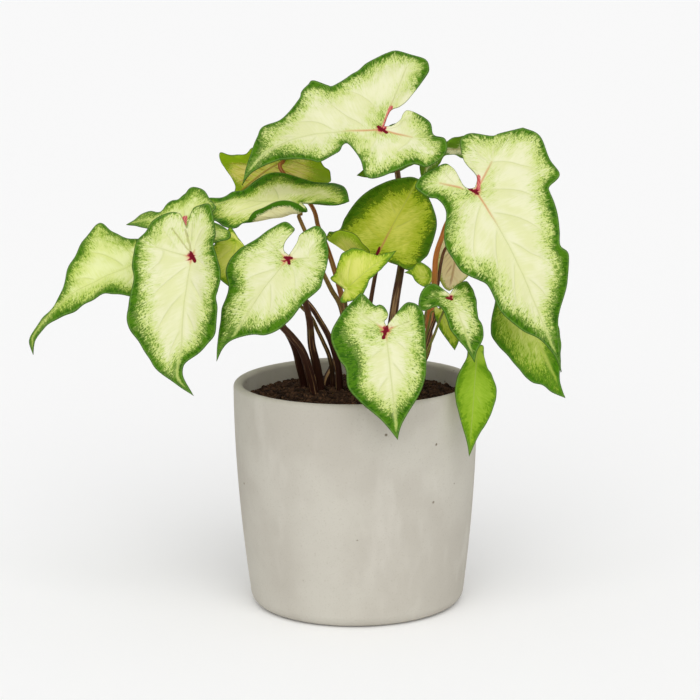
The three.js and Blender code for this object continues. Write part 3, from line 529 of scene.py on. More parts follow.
def bent(point, hinge):  # what lies past the hinge line rolls up round a cylinder, then runs on straight
    x, y, direction, radius, angle = hinge
    turn, up = math.radians(abs(angle)), math.copysign(1, angle)
    cos, sin = math.cos(math.radians(direction)), math.sin(math.radians(direction))
    past = (point.x - x) * cos + (point.y - y) * sin
    if past <= 0:
        return point
    height = point.z * up
    reached = min(past, radius * turn) / radius
    rest = max(0.0, past - radius * turn)
    moved = (radius - height) * math.sin(reached) + rest * math.cos(turn)
    point.x += (moved - past) * cos
    point.y += (moved - past) * sin
    point.z = up * (radius - (radius - height) * math.cos(reached) + rest * math.sin(turn))
    return point


def smooth(low, high, value):
    share = min(max((value - low) / (high - low), 0.0), 1.0)
    return share * share * (3 - 2 * share)


def streak(place, start, end, radius):  # 1 on the line from start to end, 0 beyond the radius
    start, end = Vector(start), Vector(end)
    span = end - start
    share = min(max((place - start).dot(span) / max(span.length_squared, 0.01), 0.0), 1.0)
    core = radius * patternShape["streakCore"]
    return smooth(radius, core, (place - start - span * share).length)


def nearest(points):  # a tree that finds the nearest of these points
    tree = kdtree.KDTree(len(points))
    for i, point in enumerate(points):
        tree.insert(point.to_3d(), i)
    tree.balance()
    return tree


def evenly(count):
    return [i / (count - 1) for i in range(count)]


class Blade:
    def __init__(self, leaf, seed):
        shape = bladeShape
        self.leaf, self.seed = leaf, seed
        lobes = leaf.get("lobes", [(0, 0), (0, 0)])
        self.edges = {1: Route(leaf["right"]), -1: Route(leaf["left"])}
        self.lobe = {1: Vector(lobes[0]), -1: Vector(lobes[1])}
        self.rib = Route(leaf["rib"])
        columns = shape["columnsLong"] if leaf["rib"][-1][1] > shape["longBlade"] else shape["columnsShort"]
        self.basal = round(leaf.get("fan", shape["fan"]) * columns) / columns
        longest = max(edge.length for edge in self.edges.values())
        self.rows = columns * math.ceil(longest / shape["rowSpacing"] / columns)
        widest = max(abs(p[0]) for p in leaf["right"] + leaf["left"])
        self.rings = max(shape["fewestRings"], round(widest / shape["ringSpacing"]))

        border = [edge.at(w) for edge in self.edges.values() for w in evenly(shape["edgeSamples"])]
        spine = [self.rib.at(w) for w in evenly(shape["ribSamples"])]
        spine += [end * w for end in self.lobe.values() for w in evenly(shape["lobeSamples"])]
        self.nearEdge, self.nearRib = nearest(border), nearest(spine)

        self.mesh = bmesh.new()
        verts, loops = self.mesh.verts.layers, self.mesh.loops.layers
        self.outLayer, self.roundLayer = verts.float.new("out"), verts.float.new("round")
        names = ["leafMargin", "leafTone", "leafStain", "leafSeam"]
        self.patterns = {name: verts.float_vector.new(name) for name in names}
        self.veinLayer = loops.float_vector.new("leafVein")
        self.flowLayer = loops.float_vector.new("leafFlow")

    def drawHalf(self, side):  # a grid from the midrib out to one edge
        shape, leaf, edge = bladeShape | patternShape, self.leaf, self.edges[side]
        grid = bmesh.ops.create_grid(self.mesh, x_segments=self.rings, y_segments=self.rows, size=1)["verts"]
        veinAt, flowAt = {}, {}
        for vert in grid:
            out = (vert.co.x + 1) / 2
            share = round((vert.co.y + 1) / 2 * self.rows) / self.rows
            down = max(0.0, (share - self.basal) / (1 - self.basal)) ** shape["lean"]
            back = min(1.0, shape["lobeRise"] * max(0.0, min(share, self.basal - share)) / self.basal)
            root, tip = self.rib.at(down) + self.lobe[side] * back, edge.at(share)
            flat = root.lerp(tip, out)
            ray = (tip - root).length * out
            phase = leaf["veins"] * (share - shape["veinSweep"] * out ** shape["veinCurve"])
            spread = shape["veinsAtRib"] + (1 - shape["veinsAtRib"]) * out
            spacing = edge.length / leaf["veins"] * spread
            veinAt[vert] = (phase + side * shape["veinStart"], spacing, ray)
            own = self.seed * shape["flowStep"] + side * shape["sideStep"]
            flowAt[vert] = (share * edge.length * shape["flowStretch"], ray, own)
            vert[self.outLayer], vert[self.roundLayer] = out * side, share
            for name, values in self.pattern(flat, share).items():
                vert[self.patterns[name]] = values
            vert.co = flat.to_3d()
        faces = list({face for vert in grid for face in vert.link_faces})
        for face in faces:
            for loop in face.loops:
                loop[self.veinLayer], loop[self.flowLayer] = veinAt[loop.vert], flowAt[loop.vert]
        if side < 0:
            bmesh.ops.reverse_faces(self.mesh, faces=faces)

    def pattern(self, flat, share):  # what the materials read at a place on the flat blade
        shape, leaf, place = patternShape, self.leaf, flat.to_3d()
        clear = leaf.get("clear", shape["clearShare"] * self.rib.length + shape["clearLeast"])
        rosy = leaf.get("blush", 0)
        wider = 0.0
        for x, y, reach, width in leaf["greens"]:
            wider += width * math.exp(-((flat.x - x) ** 2 + (flat.y - y) ** 2) / reach ** 2)
        notch = smooth(shape["clearCore"] * clear, clear, flat.length)
        notch = max(notch, smooth(*shape["lobeBand"], share))
        stain = {"pink": 0.0, "crimson": 0.0, "olive": 0.0}
        for start, end, radius, colour in leaf.get("stains", []):
            stain[colour] = max(stain[colour], streak(flat, start, end, radius))
        blush = 1 - smooth(shape["blushCore"] * rosy, rosy, flat.length) if rosy else 0.0
        fromSpot = flat.length * leaf.get("spotScale", 1)
        return {
            "leafMargin": (self.nearEdge.find(place)[2], self.nearRib.find(place)[2], fromSpot),
            "leafTone": (wider, notch, smooth(*shape["tipBand"], share)),
            "leafStain": (stain["pink"], stain["crimson"], blush),
            "leafSeam": (stain["olive"], 0, 0),
        }

    def lift(self, vert, height):  # the height of a place whose height in the flat blade is given
        shape, leaf = bladeShape, self.leaf
        out, share = vert[self.outLayer], vert[self.roundLayer]
        reach = abs(out)
        fromEdge, fromRib, fromSpot = vert[self.patterns["leafMargin"]]
        thin = shape["edgeThin"] + (1 - shape["edgeThin"]) * smooth(0, shape["thinBand"], fromEdge)
        waveHeight, count, start = leaf["waves"][0 if out >= 0 else 1]
        swell = math.sin(math.pi * share)
        wave = waveHeight * out * out * swell * math.sin(2 * math.pi * (count * share + start))
        rise = leaf.get("fold", 0) * (math.hypot(vert.co.x, shape["valley"]) - shape["valley"])
        phase = leaf["veins"] * (share - shape["veinSweep"] * reach ** shape["veinCurve"])
        phase += shape["veinStart"] if out >= 0 else -shape["veinStart"]
        pillow = abs(math.sin(math.pi * (phase + 0.5))) - 0.5
        calm = smooth(*shape["quiltOut"], reach) * smooth(*shape["quiltEdge"], reach)
        calm *= smooth(*shape["quiltRib"], fromRib)
        ripple = shape["ruffle"] * reach ** 4 * swell
        ripple *= math.sin(2 * math.pi * shape["ruffleCount"] * share + self.seed)
        place = Vector((vert.co.x, vert.co.y, self.seed * shape["driftStep"]))
        uneven = noise.noise(place * shape["driftScale"])
        drift = uneven * shape["drift"] * smooth(*shape["driftFrom"], fromSpot)
        quilt = shape["quilt"] * self.rib.length * pillow * calm
        return height * thin + wave + rise + quilt + ripple + drift

    def make(self, name):
        shape, leaf, mesh = bladeShape, self.leaf, self.mesh
        for side in self.edges:
            self.drawHalf(side)
        bmesh.ops.remove_doubles(mesh, verts=mesh.verts, dist=shape["weld"])
        bmesh.ops.dissolve_degenerate(mesh, dist=shape["sliver"], edges=mesh.edges)
        bmesh.ops.solidify(mesh, geom=mesh.faces[:], thickness=shape["thickness"])
        bmesh.ops.recalc_face_normals(mesh, faces=mesh.faces)
        middle = (max(v.co.z for v in mesh.verts) + min(v.co.z for v in mesh.verts)) / 2
        for face in mesh.faces:
            face.smooth = True
            face.material_index = 1 if all(v.co.z < middle for v in face.verts) else 0

        across, along, facing = placed(leaf)
        for vert in mesh.verts:
            point = Vector((vert.co.x, vert.co.y, self.lift(vert, vert.co.z - middle)))
            for hinge in leaf["bends"]:
                point = bent(point, hinge)
            vert.co = (Vector(leaf["spot"]) + point.x * across + point.y * along + point.z * facing) * mm
        for layer in (self.outLayer, self.roundLayer):
            mesh.verts.layers.float.remove(layer)
        return finishPiece(f"blade_{name}", mesh, f"leaf_{name}")


petioleShape = {
    "sides": 14, "stepLength": 2.2, "rootDepth": 22, "neck": 0.8, "flare": 1.1,
    "grainStep": 40,  # how far the stripes move on from one petiole to the next
}


def petioleRoute(leaf):
    facing = placed(leaf)[2]
    end = Vector(leaf["spot"]) - facing * (bladeShape["thickness"] / 2 + bladeShape["gap"])
    bow = end - facing * leaf.get("reach", bladeShape["reach"])
    x, y, z = leaf["stalk"][0]
    return Route([(x, y, z - petioleShape["rootDepth"])] + leaf["stalk"] + [bow, end])


def makePetiole(name, leaf, seed):
    shape = petioleShape
    route = petioleRoute(leaf)
    steps = int(route.length / shape["stepLength"])
    mesh = bmesh.new()
    bmesh.ops.create_grid(mesh, x_segments=shape["sides"], y_segments=steps, size=1)
    placeLayer = mesh.verts.layers.float_vector.new("stalkPlace")
    toneLayer = mesh.verts.layers.float_vector.new("stalkTone")
    centres = [route.at(i / steps) for i in range(steps + 1)]
    sideways = []
    turned = Vector((1, 0, 0))
    for i in range(steps + 1):  # two directions square to the route, which turn as little as they can
        ahead = (centres[min(i + 1, steps)] - centres[max(i - 1, 0)]).normalized()
        turned = (turned - ahead * turned.dot(ahead)).normalized()
        sideways.append((turned.copy(), ahead.cross(turned)))
    for vert in mesh.verts:
        angle = (vert.co.x + 1) * math.pi
        row = round((vert.co.y + 1) / 2 * steps)
        share = row / steps
        radius = leaf["thick"] / 2 * (shape["neck"] + shape["flare"] * (1 - share) ** 2)
        first, second = sideways[row]
        around = angle * leaf["thick"] / 2 + seed * shape["grainStep"]
        vert[placeLayer] = (around, share * route.length, share)
        vert[toneLayer] = (leaf.get("warm", 0), leaf.get("fresh", 0), 0)
        vert.co = (centres[row] + radius * (math.cos(angle) * first + math.sin(angle) * second)) * mm
    bmesh.ops.remove_doubles(mesh, verts=mesh.verts, dist=1e-6)
    bmesh.ops.holes_fill(mesh, edges=mesh.edges, sides=0)
    bmesh.ops.recalc_face_normals(mesh, faces=mesh.faces)
    for face in mesh.faces:
        face.smooth = len(face.verts) == 4
    return finishPiece(f"stalk_{name}", mesh, f"petiole_{name}")


# What the materials read. Distances, also in the fades and soft lines below, are in millimetres.
leafAttributes = {
    "leafMargin": ["edge", "rib", "spot"],  # distances from the outline, the midrib and the petiole
    "leafVein": ["phase", "spacing", "ray"],  # a vein is where the phase is a half; ray: how far along it
    "leafTone": ["wider", "notch", "tip"],  # notch is 0 where the notch has no margin, tip 1 at the tip
    "leafStain": ["pink", "crimson", "blush"],
    "leafSeam": ["olive"],
}
leafBody = {"Specular IOR Level": 0.05, "Subsurface Radius": (1.0, 1.0, 0.6), "Subsurface Scale": 0.001}
leafInk = {
    "vein": "a9b466", "blush": "cc7e58", "halo": "cf8068", "seam": "8f8c3a", "pink": "cf8378",
    "pinkDeep": "b84c4c", "spot": "9c2438", "spotDark": "580a18", "crimson": "6c0e1e", "paintedSheen": "7d9a58",
    "rim": "4a5a2a", "rimUnder": "5a6a34",
}
# Looks of the upper side. width: of the solid green margin. band: of the speckle inside it.
# grainy: more mixes the speckle further. tip: how much wider the margin is at the tip.
leafLooks = {
    "cream": {
        "centre": "dcdcb6", "between": "d1d49c", "tint": "b6c765", "speck": "71932a", "margin": "487410",
        "deep": "295406", "width": 3.2, "band": 9.0, "tip": 3, "grainy": 6.0, "spotSize": 2.0,
    },
    "meadow": {
        "centre": "dde3a4", "between": "cfd884", "tint": "a9bf4e", "speck": "6f9128", "margin": "4b7713",
        "deep": "335f0b", "width": 2.4, "band": 8.0, "tip": 4, "grainy": 5.6, "spotSize": 0.0,
    },
    # painted light: a lighter, yellower copy of cream for the long leaf, brightening a face that the lamps
    # light weakly
    "litCream": {
        "centre": "e6e6ae", "between": "dade94", "tint": "b2c644", "speck": "6c9620", "margin": "45780a",
        "deep": "2a5404", "width": 3.2, "band": 9.0, "tip": 3, "grainy": 5.0, "spotSize": 0.0,
    },
    # a darker, greener look for the leaf at the back right: its own greener colours with painted shade in
    # them
    "shadedGreen": {
        "centre": "d2da84", "between": "c0cc62", "tint": "94b030", "speck": "6f9a1c", "margin": "4a7c0c",
        "deep": "386808", "width": 2.4, "band": 13.0, "tip": 4, "grainy": 4.0, "spotSize": 0.0,
    },
    "lime": {
        "centre": "dadb62", "between": "c8ce44", "tint": "a3b81e", "speck": "6c900e", "margin": "4a7406",
        "deep": "365a04", "width": 1.6, "band": 14.0, "tip": 3, "grainy": 2.6, "spotSize": 0.0,
    },
    "young": {
        "centre": "d8da74", "between": "c8d156", "tint": "aabf30", "speck": "88a61c", "margin": "5f8a10",
        "deep": "4d7a0c", "width": 0.8, "band": 6.0, "tip": 2, "grainy": 2.4, "spotSize": 0.0,
    },
    "plain": {
        "centre": "96b238", "between": "8cae2c", "tint": "7a9e1c", "speck": "66900e", "margin": "58820a",
        "deep": "4c7608", "width": 2.2, "band": 9.0, "tip": 0, "grainy": 2.0, "spotSize": 0.0,
    },
}
leafGrain = {  # stretch along the edge and across it, detail, roughness
    "dots": ((0.95, 0.75, 1), 3.0, 0.75),
    "strokes": ((1.2, 0.27, 1), 2.0, 0.6),
    "cloud": ((0.05, 0.05, 1), 2.0, 0.5),
    "patch": ((0.24, 0.14, 1), 2.0, 0.55),
    "brush": ((0.7, 0.09, 1), 2.0, 0.5),
}
marginShape = {
    "wander": 6, "notchClear": 12, "patchy": 1.6, "steepness": 0.8, "densest": -0.5, "dotSoftness": 0.18,
    "dotStrength": 0.85, "solidShare": 0.5, "brushReach": 8, "patchReach": 6, "dotReach": 5,
}


def leafPlace(wire):
    at = SimpleNamespace(flow=wire.attribute("leafFlow"))
    for name, parts in leafAttributes.items():
        for part, socket in zip(parts, wire.attribute(name).split()):
            setattr(at, part, socket)
    return at


def greens(at, grain, look):  # the cream or lime ground, its speckle and its solid margin
    shape = marginShape
    ink = {name: paint(code) for name, code in look.items() if isinstance(code, str)}
    width = (look["width"] + at.wider + (grain.cloud - 0.5) * shape["wander"]) * at.notch
    fromMargin = at.edge - width - at.tip * look["tip"] + (1 - at.notch) * shape["notchClear"]
    at.inward = fromMargin / look["band"] + (grain.patch - 0.5) * shape["patchy"]
    dense = (at.inward * shape["steepness"]).most(shape["densest"])
    dotted = (dense + (0.5 - grain.speck) * look["grainy"]).line(0.0, shape["dotSoftness"])
    ragged = (grain.brush - 0.5) * shape["brushReach"] + (grain.patch - 0.5) * shape["patchReach"]
    ragged = ragged + (grain.dots - 0.5) * shape["dotReach"]
    at.solid = (at.edge - width + at.wider * shape["solidShare"] * at.notch + ragged).line(-1.2, 0.6)
    alongRib = (at.rib + (grain.dots - 0.5) * 4).line(0.2, 1.6) * at.edge.fade(1.2, 3)
    green = (dotted * shape["dotStrength"]).most(at.solid) * (1 - alongRib * 0.75)
    tinted = (at.inward * 0.7 + (0.5 - grain.strokes) * 1.8 + (grain.brush - 0.5) * 0.8).line(0.0, 1.2)

    mottle = (grain.cloud * 0.7 + grain.brush * 0.3).fade(0.4, 0.6)
    ground = at.edge.blend(ink["centre"], ink["between"], mottle * 0.8)
    ground = ground.over(ink["tint"], tinted * 0.9)
    leafGreen = at.edge.blend(ink["speck"], ink["margin"], at.solid.most((0.4 - at.inward).fade(0, 0.8)))
    leafGreen = leafGreen.over(ink["deep"], (grain.strokes + grain.patch - 0.5).fade(0.4, 0.65) * 0.9)
    light = (grain.dots - grain.brush * 0.3).fade(0.44, 0.56) * at.edge.fade(1.5, 5)
    leafGreen = leafGreen.over(ink["tint"], light * 0.5)
    return ground.over(leafGreen, green)


def veins(at, colour, look):  # a thin line, with painted shade on one side of it and painted light on the other
    off = (at.phase.fraction() - 0.5) * at.spacing
    other = off * -1
    inner = (at.inward * 0.6).fade(0.1, 1.0)
    # painted shade on one side of each vein and painted light on its other side, standing in for the light on
    # the pillows between veins
    shade = off.line(0, 3.4) * off.fade(-0.3, 0.1) * inner * at.ray.fade(1.3, 6)
    paintedLight = other.line(0, 3.0) * other.fade(-0.3, 0.1) * inner * at.ray.fade(1.3, 6)
    at.vein = off.size().line(0.05, 0.55) * inner * at.ray.fade(1.3, 4)
    at.ribLine = at.rib.line(0.15, 0.7) * at.edge.fade(1, 6)
    # painted shade on both sides of the midrib
    ribShade = at.rib.line(0.3, 3.0) * at.edge.fade(3, 12)
    colour = colour.over(paint(look["between"]), (shade * 0.75).most(ribShade * 0.5))
    colour = colour.over(paint(look["centre"]), paintedLight * 0.6)
    return colour.over(paint(leafInk["vein"]), (at.vein * 0.26).most(at.ribLine * 0.3))


def stains(at, colour, grain, look):  # pink and crimson at the petiole, a painted highlight along the edge, and the thin dark rim
    ink = {name: paint(code) for name, code in leafInk.items()}
    speck, spot = grain.speck, look["spotSize"]
    uneven = (speck - 0.5) * 0.8
    colour = colour.over(ink["blush"], at.blush * at.rib.line(0.1, 1.3) * at.edge.fade(1, 3) * 0.7)
    if spot:
        colour = colour.over(ink["halo"], at.spot.line(spot * 0.8, spot * 2.6) * 0.45)
    colour = colour.over(ink["seam"], (at.olive + uneven).fade(0.2, 0.8) * 0.45)
    pink = at.edge.blend(ink["pink"], ink["pinkDeep"], grain.brush.fade(0.4, 0.6))
    colour = colour.over(pink, (at.pink + uneven).fade(0.2, 0.75))
    if spot:  # a star, because its rays keep their width on the way out
        rays = at.flow.stretched((0.22, 0, 1), 1.0)
        ragged = at.spot * ((rays - 0.5) * 4 + 1).most(0.45) + (speck - 0.5) * 2.4
        colour = colour.over(ink["spot"], ragged.line(spot * 0.7, spot * 1.25))
        colour = colour.over(ink["spotDark"], ragged.line(spot * 0.3, spot * 0.8))
    colour = colour.over(ink["crimson"], (at.crimson + uneven).fade(0.25, 0.7))
    # painted highlight: a pale line just inside the dark rim, where the margin catches the light
    paintedSheen = at.edge.fade(0.3, 0.6) * at.edge.line(0.8, 1.6) * at.solid
    colour = colour.over(ink["paintedSheen"], paintedSheen * 0.3)
    return colour.over(ink["rim"], at.edge.line(0.2, 0.55) * 0.6)


def leafUpper(name, look):
    material, wire, skin = newMaterial(name, leafBody | {"Roughness": 0.5, "Subsurface Weight": 0.05})
    at = leafPlace(wire)
    grain = SimpleNamespace(**{key: at.flow.stretched(*values) for key, values in leafGrain.items()})
    grain.speck = grain.dots * 0.7 + grain.strokes * 0.3
    colour = veins(at, greens(at, grain, look), look)
    colour = stains(at, colour, grain, look)
    height = grain.speck * 0.1 - at.vein * 0.4 - at.ribLine * 0.5
    plug(wire, skin, colour=colour, normal=bump(height, 0.0006, 0.6))
    return material


backLooks = {
    "pale": {
        "flesh": "eeeec2", "between": "e2e4a8", "margin": "5c8318", "vein": "b8a468",
        "width": 2.5, "band": 7,
    },
    "flap": {
        "flesh": "dcd8a4", "between": "cfc88e", "margin": "3a6a0c", "vein": "b0a468",
        "width": 2.6, "band": 3,
    },
    "tan": {
        "flesh": "e2d878", "between": "c8cc48", "margin": "8aaa14", "vein": "946020",
        "width": 3.5, "band": 14,
    },
    "rose": {
        "flesh": "fff0c4", "between": "f6e2ae", "margin": "b8c05c", "vein": "b98458",
        "width": 0.6, "band": 4,
    },
    "lime": {
        "flesh": "dce066", "between": "cad84c", "margin": "96b620", "vein": "a0a848",
        "width": 1.5, "band": 9,
    },
}
backGrain = {
    "speck": ((1.5, 0.6, 1), 2.0, 0.6),
    "cloud": ((0.06, 0.06, 1), 2.0, 0.5),
    "brush": ((0.6, 0.08, 1), 2.0, 0.5),
}


def leafUnder(name, look):  # paler, with raised veins and their branches
    material, wire, skin = newMaterial(name, leafBody | {"Roughness": 0.6, "Subsurface Weight": 0.06})
    at = leafPlace(wire)
    ink = {key: paint(code) for key, code in look.items() if isinstance(code, str)}
    grain = SimpleNamespace(**{key: at.flow.stretched(*values) for key, values in backGrain.items()})
    width = look["width"] + at.wider + (grain.cloud - 0.5) * marginShape["wander"]
    ragged = (0.5 - grain.speck) * 1.6 + (grain.brush - 0.5) * 0.6
    green = ((at.edge - width) / look["band"] + ragged).line(0.05, 0.8)
    colour = wire.blend(ink["flesh"], ink["between"], (grain.cloud * 0.5 + grain.brush * 0.5).fade(0.42, 0.6))
    colour = colour.over(ink["margin"], green)

    off = (at.phase.fraction() - 0.5).size() * at.spacing
    offBranch = ((at.phase * 3).fraction() - 0.5).size() * at.spacing / 3
    vein = off.line(0.1, 0.8) * at.edge.fade(2, 10) * at.ray.fade(1.3, 3)
    branch = offBranch.line(0.1, 0.6) * at.edge.fade(3, 10) * at.ray.fade(2, 5)
    ribLine = at.rib.line(0.3, 1.2) * at.edge.fade(1, 6)
    colour = colour.over(ink["vein"], (vein * 0.55).most(branch * 0.3).most(ribLine * 0.6))
    colour = colour.over(paint(leafInk["rimUnder"]), at.edge.line(0.25, 0.6) * 0.6)
    height = vein * 0.6 + branch * 0.25 + ribLine + grain.speck * 0.1
    plug(wire, skin, colour=colour, normal=bump(height, 0.0006, 0.7))
    return material


petioleInk = {
    "foot": "33180f", "middle": "583a28", "top": "80502e", "warm": "b87032", "fresh": "8a9040",
    "pale": "c8a070", "dark": "20100a", "moss": "857f3c",
}


def petioleSkin():
    fixed = {"Specular IOR Level": 0.15, "Subsurface Weight": 0.05, "Subsurface Radius": (1.0, 0.5, 0.3)}
    material, wire, skin = newMaterial("petioleSkin", fixed | {"Subsurface Scale": 0.0015})
    ink = {name: paint(code) for name, code in petioleInk.items()}
    place = wire.attribute("stalkPlace")
    share = place.split()[2]
    warm, fresh = wire.attribute("stalkTone").split()[:2]
    stripes = place.stretched((0.9, 0.02, 0), 3.0, 0.55)
    fine = place.stretched((3.0, 0.08, 0))
    blotch = wire.solid().grain(60)
    colour = wire.blend(ink["foot"], ink["middle"], share.fade(0.1, 0.7))
    colour = colour.over(ink["top"], share.fade(0.75, 1.0))
    colour = colour.over(ink["warm"], warm * share.fade(0.15, 0.45))
    colour = colour.over(ink["fresh"], fresh * share.fade(0.1, 0.5))
    colour = colour.over(ink["pale"], stripes.fade(0.55, 0.64) * (0.5 + warm * 0.35))
    colour = colour.over(ink["dark"], fine.fade(0.5, 0.68) * 0.55)
    colour = colour.over(ink["moss"], blotch.fade(0.55, 0.7) * share.fade(0.2, 0.8) * 0.45)
    height = stripes + fine * 0.4
    plug(wire, skin, colour=colour, roughness=0.45 + stripes * 0.2, normal=bump(height, 0.0003, 0.8))
    return material


print("making leaves")
uppers = {name: leafUpper(f"leafUpper_{name}", look) for name, look in leafLooks.items()}
unders = {name: leafUnder(f"leafUnder_{name}", look) for name, look in backLooks.items()}
stalkSkin = petioleSkin()
for seed, (name, leaf) in enumerate(leaves.items()):
    blade = Blade(leaf, seed).make(name)
    blade.data.materials.append(uppers[leaf["skin"]])
    blade.data.materials.append(unders[leaf["back"]])
    stalk = makePetiole(name, leaf, seed)
    stalk.data.materials.append(stalkSkin)


potShape = {
    "height": 158, "rimRadius": 85, "wall": 6.5, "floor": 9, "taper": 10.9, "taperCurve": 1.9,
    "uprightBelowRim": 10, "footRounding": 9, "footEnd": -4,
    "steps": 144, "footSteps": 12, "lipSteps": 16, "outsideStep": 6, "insideStep": 8,
    "wallFrom": 12, "wallTo": 150,  # heights between which the wall's curve is sampled
}


def outerRadius(height):
    tapered = potShape["height"] - potShape["uprightBelowRim"]
    below = max(0.0, tapered - height) / tapered
    return potShape["rimRadius"] - potShape["taper"] * below ** potShape["taperCurve"]


def arc(x, z, radius, start, end, steps):
    angles = [math.radians(start + (end - start) * i / steps) for i in range(steps + 1)]
    return [(x + radius * math.cos(a), z + radius * math.sin(a)) for a in angles]


def makePot():
    shape = potShape
    lip, rounding = shape["wall"] / 2, shape["footRounding"]
    top = shape["height"] - shape["uprightBelowRim"]
    profile = [(0, 0)]
    foot = outerRadius(rounding) - rounding
    profile += arc(foot, rounding, rounding, -90, shape["footEnd"], shape["footSteps"])
    outside = range(shape["wallFrom"], shape["wallTo"], shape["outsideStep"])
    profile += [(outerRadius(z), z) for z in outside]
    profile += arc(shape["rimRadius"] - lip, shape["height"] - lip, lip, 0, 180, shape["lipSteps"])
    inside = range(top, shape["wallFrom"], -shape["insideStep"])
    profile += [(outerRadius(z) - shape["wall"], z) for z in inside]
    profile += [(outerRadius(shape["floor"]) - shape["wall"], shape["floor"]), (0, shape["floor"])]
    mesh = bmesh.new()
    line = [mesh.verts.new((x * mm, 0, z * mm)) for x, z in profile]
    edges = [mesh.edges.new(pair) for pair in zip(line, line[1:])]
    bmesh.ops.spin(mesh, geom=line + edges, cent=(0, 0, 0), axis=(0, 0, 1), angle=2 * math.pi,
                   steps=shape["steps"], use_merge=True)
    bmesh.ops.remove_doubles(mesh, verts=mesh.verts, dist=1e-6)
    bmesh.ops.recalc_face_normals(mesh, faces=mesh.faces)
    for face in mesh.faces:
        face.smooth = True
    return finishPiece("concretePot", mesh, "pot")


concreteInk = {"body": "c1bdb2", "cloud": "b8b3a8", "wash": "cac6bc", "sand": "a39b8c", "pinhole": "7d7464"}


def concrete():
    material, wire, skin = newMaterial("concrete", {"Specular IOR Level": 0.03})
    ink = {name: paint(code) for name, code in concreteInk.items()}
    solid = wire.solid()
    cloud = solid.grain(14, 4.0, 0.55)
    wash = solid.stretched((1, 1, 0.35), 3.0, 0.6, 32)
    sand = solid.grain(900)
    cells = wire.node("ShaderNodeTexVoronoi", {}, {"Vector": solid, "Scale": 95.0, "Randomness": 1.0})
    pinhole = cells.line(0.05, 0.12) * solid.grain(70, 1.0).fade(0.6, 0.63)
    colour = wire.blend(ink["body"], ink["cloud"], cloud.fade(0.38, 0.62))
    colour = colour.over(ink["wash"], wash.fade(0.52, 0.7) * 0.5)
    colour = colour.over(ink["sand"], sand.fade(0.55, 0.75) * 0.35)
    colour = colour.over(ink["pinhole"], pinhole)
    height = cloud * 0.5 + sand * 0.12 - pinhole * 1.2
    plug(wire, skin, colour=colour, roughness=0.72 + wash * 0.2, normal=bump(height, 0.0008, 0.5))
    return material


print("making pot")
pot = makePot()
pot.data.materials.append(concrete())


soilShape = {
    "edge": 144.5, "crown": 150, "radius": 78, "crumbRadius": 76.5, "batches": 40, "crumbs": 130,
    "smallest": 0.5, "largest": 2.6, "mostlySmall": 2.5, "turn": (0, 6), "tilt": (-0.5, 0.5),
    "rise": (0.1, 0.45),  # where a crumb's middle stands over the soil, as a share of its size
    "squash": ((0.6, 1.0), (0.5, 0.9)),  # a crumb's width and height, as shares of its length
    "apart": 0.9,  # how much of its size a crumb keeps off a petiole
    "clearOfStalk": 1.35,  # crumbs keep this far from a petiole's middle, as a share of half its thickness
}


def soilHeight(radius):
    share = min(1.0, radius / soilShape["radius"])
    return soilShape["edge"] + (soilShape["crown"] - soilShape["edge"]) * math.cos(share * math.pi / 2)


def between(draw, span):
    low, high = span
    return low + (high - low) * draw.random()


def makeCrumbs():
    shape = soilShape
    draw = random.Random(7)
    stems = [(leaf["stalk"][0], leaf["thick"] / 2 * shape["clearOfStalk"]) for leaf in leaves.values()]
    heap = bmesh.new()
    for batch in range(shape["batches"]):  # in batches, because an operator slows down as its mesh grows
        mesh = bmesh.new()
        for i in range(shape["crumbs"]):
            spread = draw.random() ** shape["mostlySmall"]
            size = shape["smallest"] + (shape["largest"] - shape["smallest"]) * spread
            radius, angle = shape["crumbRadius"] * math.sqrt(draw.random()), draw.random() * 2 * math.pi
            x, y = radius * math.cos(angle), radius * math.sin(angle)
            apart = size * shape["apart"]
            if any(math.hypot(x - p[0], y - p[1]) < thick + apart for p, thick in stems):
                continue
            z = soilHeight(radius) + size * between(draw, shape["rise"])
            turn = between(draw, shape["turn"])
            axis = (between(draw, shape["tilt"]), between(draw, shape["tilt"]), draw.random())
            squash = Matrix.Diagonal((1, *(between(draw, span) for span in shape["squash"]), 1))
            place = Matrix.Translation(Vector((x, y, z)) * mm) @ Matrix.Rotation(turn, 4, axis) @ squash
            bmesh.ops.create_icosphere(mesh, subdivisions=1, radius=size * mm, matrix=place)
        batchMesh = bpy.data.meshes.new("crumbBatch")
        mesh.to_mesh(batchMesh)
        mesh.free()
        heap.from_mesh(batchMesh)
        bpy.data.meshes.remove(batchMesh)
    return finishPiece("soilCrumbs", heap, None)


earthInk = {"dark": "2a1c13", "brown": "4c3525", "fibre": "7e5c42"}


def earth():
    material, wire, skin = newMaterial("earth", {"Roughness": 0.95, "Specular IOR Level": 0.15})
    ink = {name: paint(code) for name, code in earthInk.items()}
    lump = wire.solid().grain(260, 3.0, 0.7)
    tone = wire.solid().grain(120)
    colour = wire.blend(ink["dark"], ink["brown"], tone.fade(0.35, 0.65))
    colour = colour.over(ink["fibre"], lump.fade(0.55, 0.72) * 0.75)
    plug(wire, skin, colour=colour, normal=bump(lump, 0.0015))
    return material


print("making soil")
soilSkin = earth()
crumbs = makeCrumbs()
crumbs.data.materials.append(soilSkin)
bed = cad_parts["soil"]
bed.data.materials.clear()
bed.data.materials.append(soilSkin)


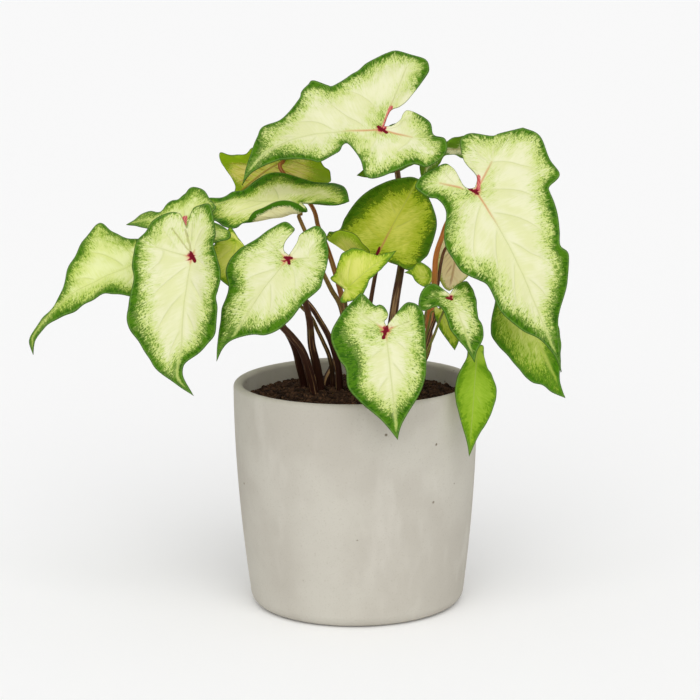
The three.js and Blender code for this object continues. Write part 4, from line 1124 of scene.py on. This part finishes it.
studio = {
    "floorSize": 60, "floorColour": "fbfbfb", "sky": "ffffff", "skyStrength": 0.63,
    # strength, angle across in degrees, and where the light comes from
    "lamps": {"keyLight": (1.31, 60, (0.0, -0.8, 0.85)), "frontLight": (0.75, 70, (0.1, -1.0, 0.1))},
    "eye": (-0.0034, -1.610, 0.492), "pitch": 11.0, "roll": 0.6, "lens": 121.06, "sensor": 36,
}


def makeFloor():
    mesh = bmesh.new()
    bmesh.ops.create_grid(mesh, x_segments=1, y_segments=1, size=studio["floorSize"] / 2)
    data = bpy.data.meshes.new("floor")
    mesh.to_mesh(data)
    mesh.free()
    floor = bpy.data.objects.new("floor", data)
    bpy.context.scene.collection.objects.link(floor)
    fixed = {"Base Color": paint(studio["floorColour"]), "Roughness": 0.9, "Specular IOR Level": 0.0}
    data.materials.append(newMaterial("floorPaper", fixed)[0])


def makeLight():
    world = bpy.data.worlds.new("studioSky")
    bpy.context.scene.world = world
    world.use_nodes = True
    sky = world.node_tree.nodes["Background"]
    sky.inputs["Color"].default_value = paint(studio["sky"])
    sky.inputs["Strength"].default_value = studio["skyStrength"]
    for name, (strength, angle, source) in studio["lamps"].items():
        light = bpy.data.lights.new(name, "SUN")
        light.energy = strength
        light.angle = math.radians(angle)
        lamp = bpy.data.objects.new(name, light)
        lamp.rotation_mode = "QUATERNION"
        lamp.rotation_quaternion = Vector(source).to_track_quat("Z", "Y")
        bpy.context.scene.collection.objects.link(lamp)


def makeCamera():
    camera = bpy.data.cameras.new("camera")
    camera.lens = studio["lens"]
    camera.sensor_width = studio["sensor"]
    eye = bpy.data.objects.new("camera", camera)
    eye.location = studio["eye"]
    tilt = Matrix.Rotation(math.radians(90 - studio["pitch"]), 3, "X")
    eye.rotation_euler = (tilt @ Matrix.Rotation(math.radians(-studio["roll"]), 3, "Z")).to_euler()
    bpy.context.scene.collection.objects.link(eye)
    bpy.context.scene.camera = eye
    bpy.context.scene.view_settings.view_transform = "Standard"


makeFloor()
makeLight()
makeCamera()
print("studio ready")
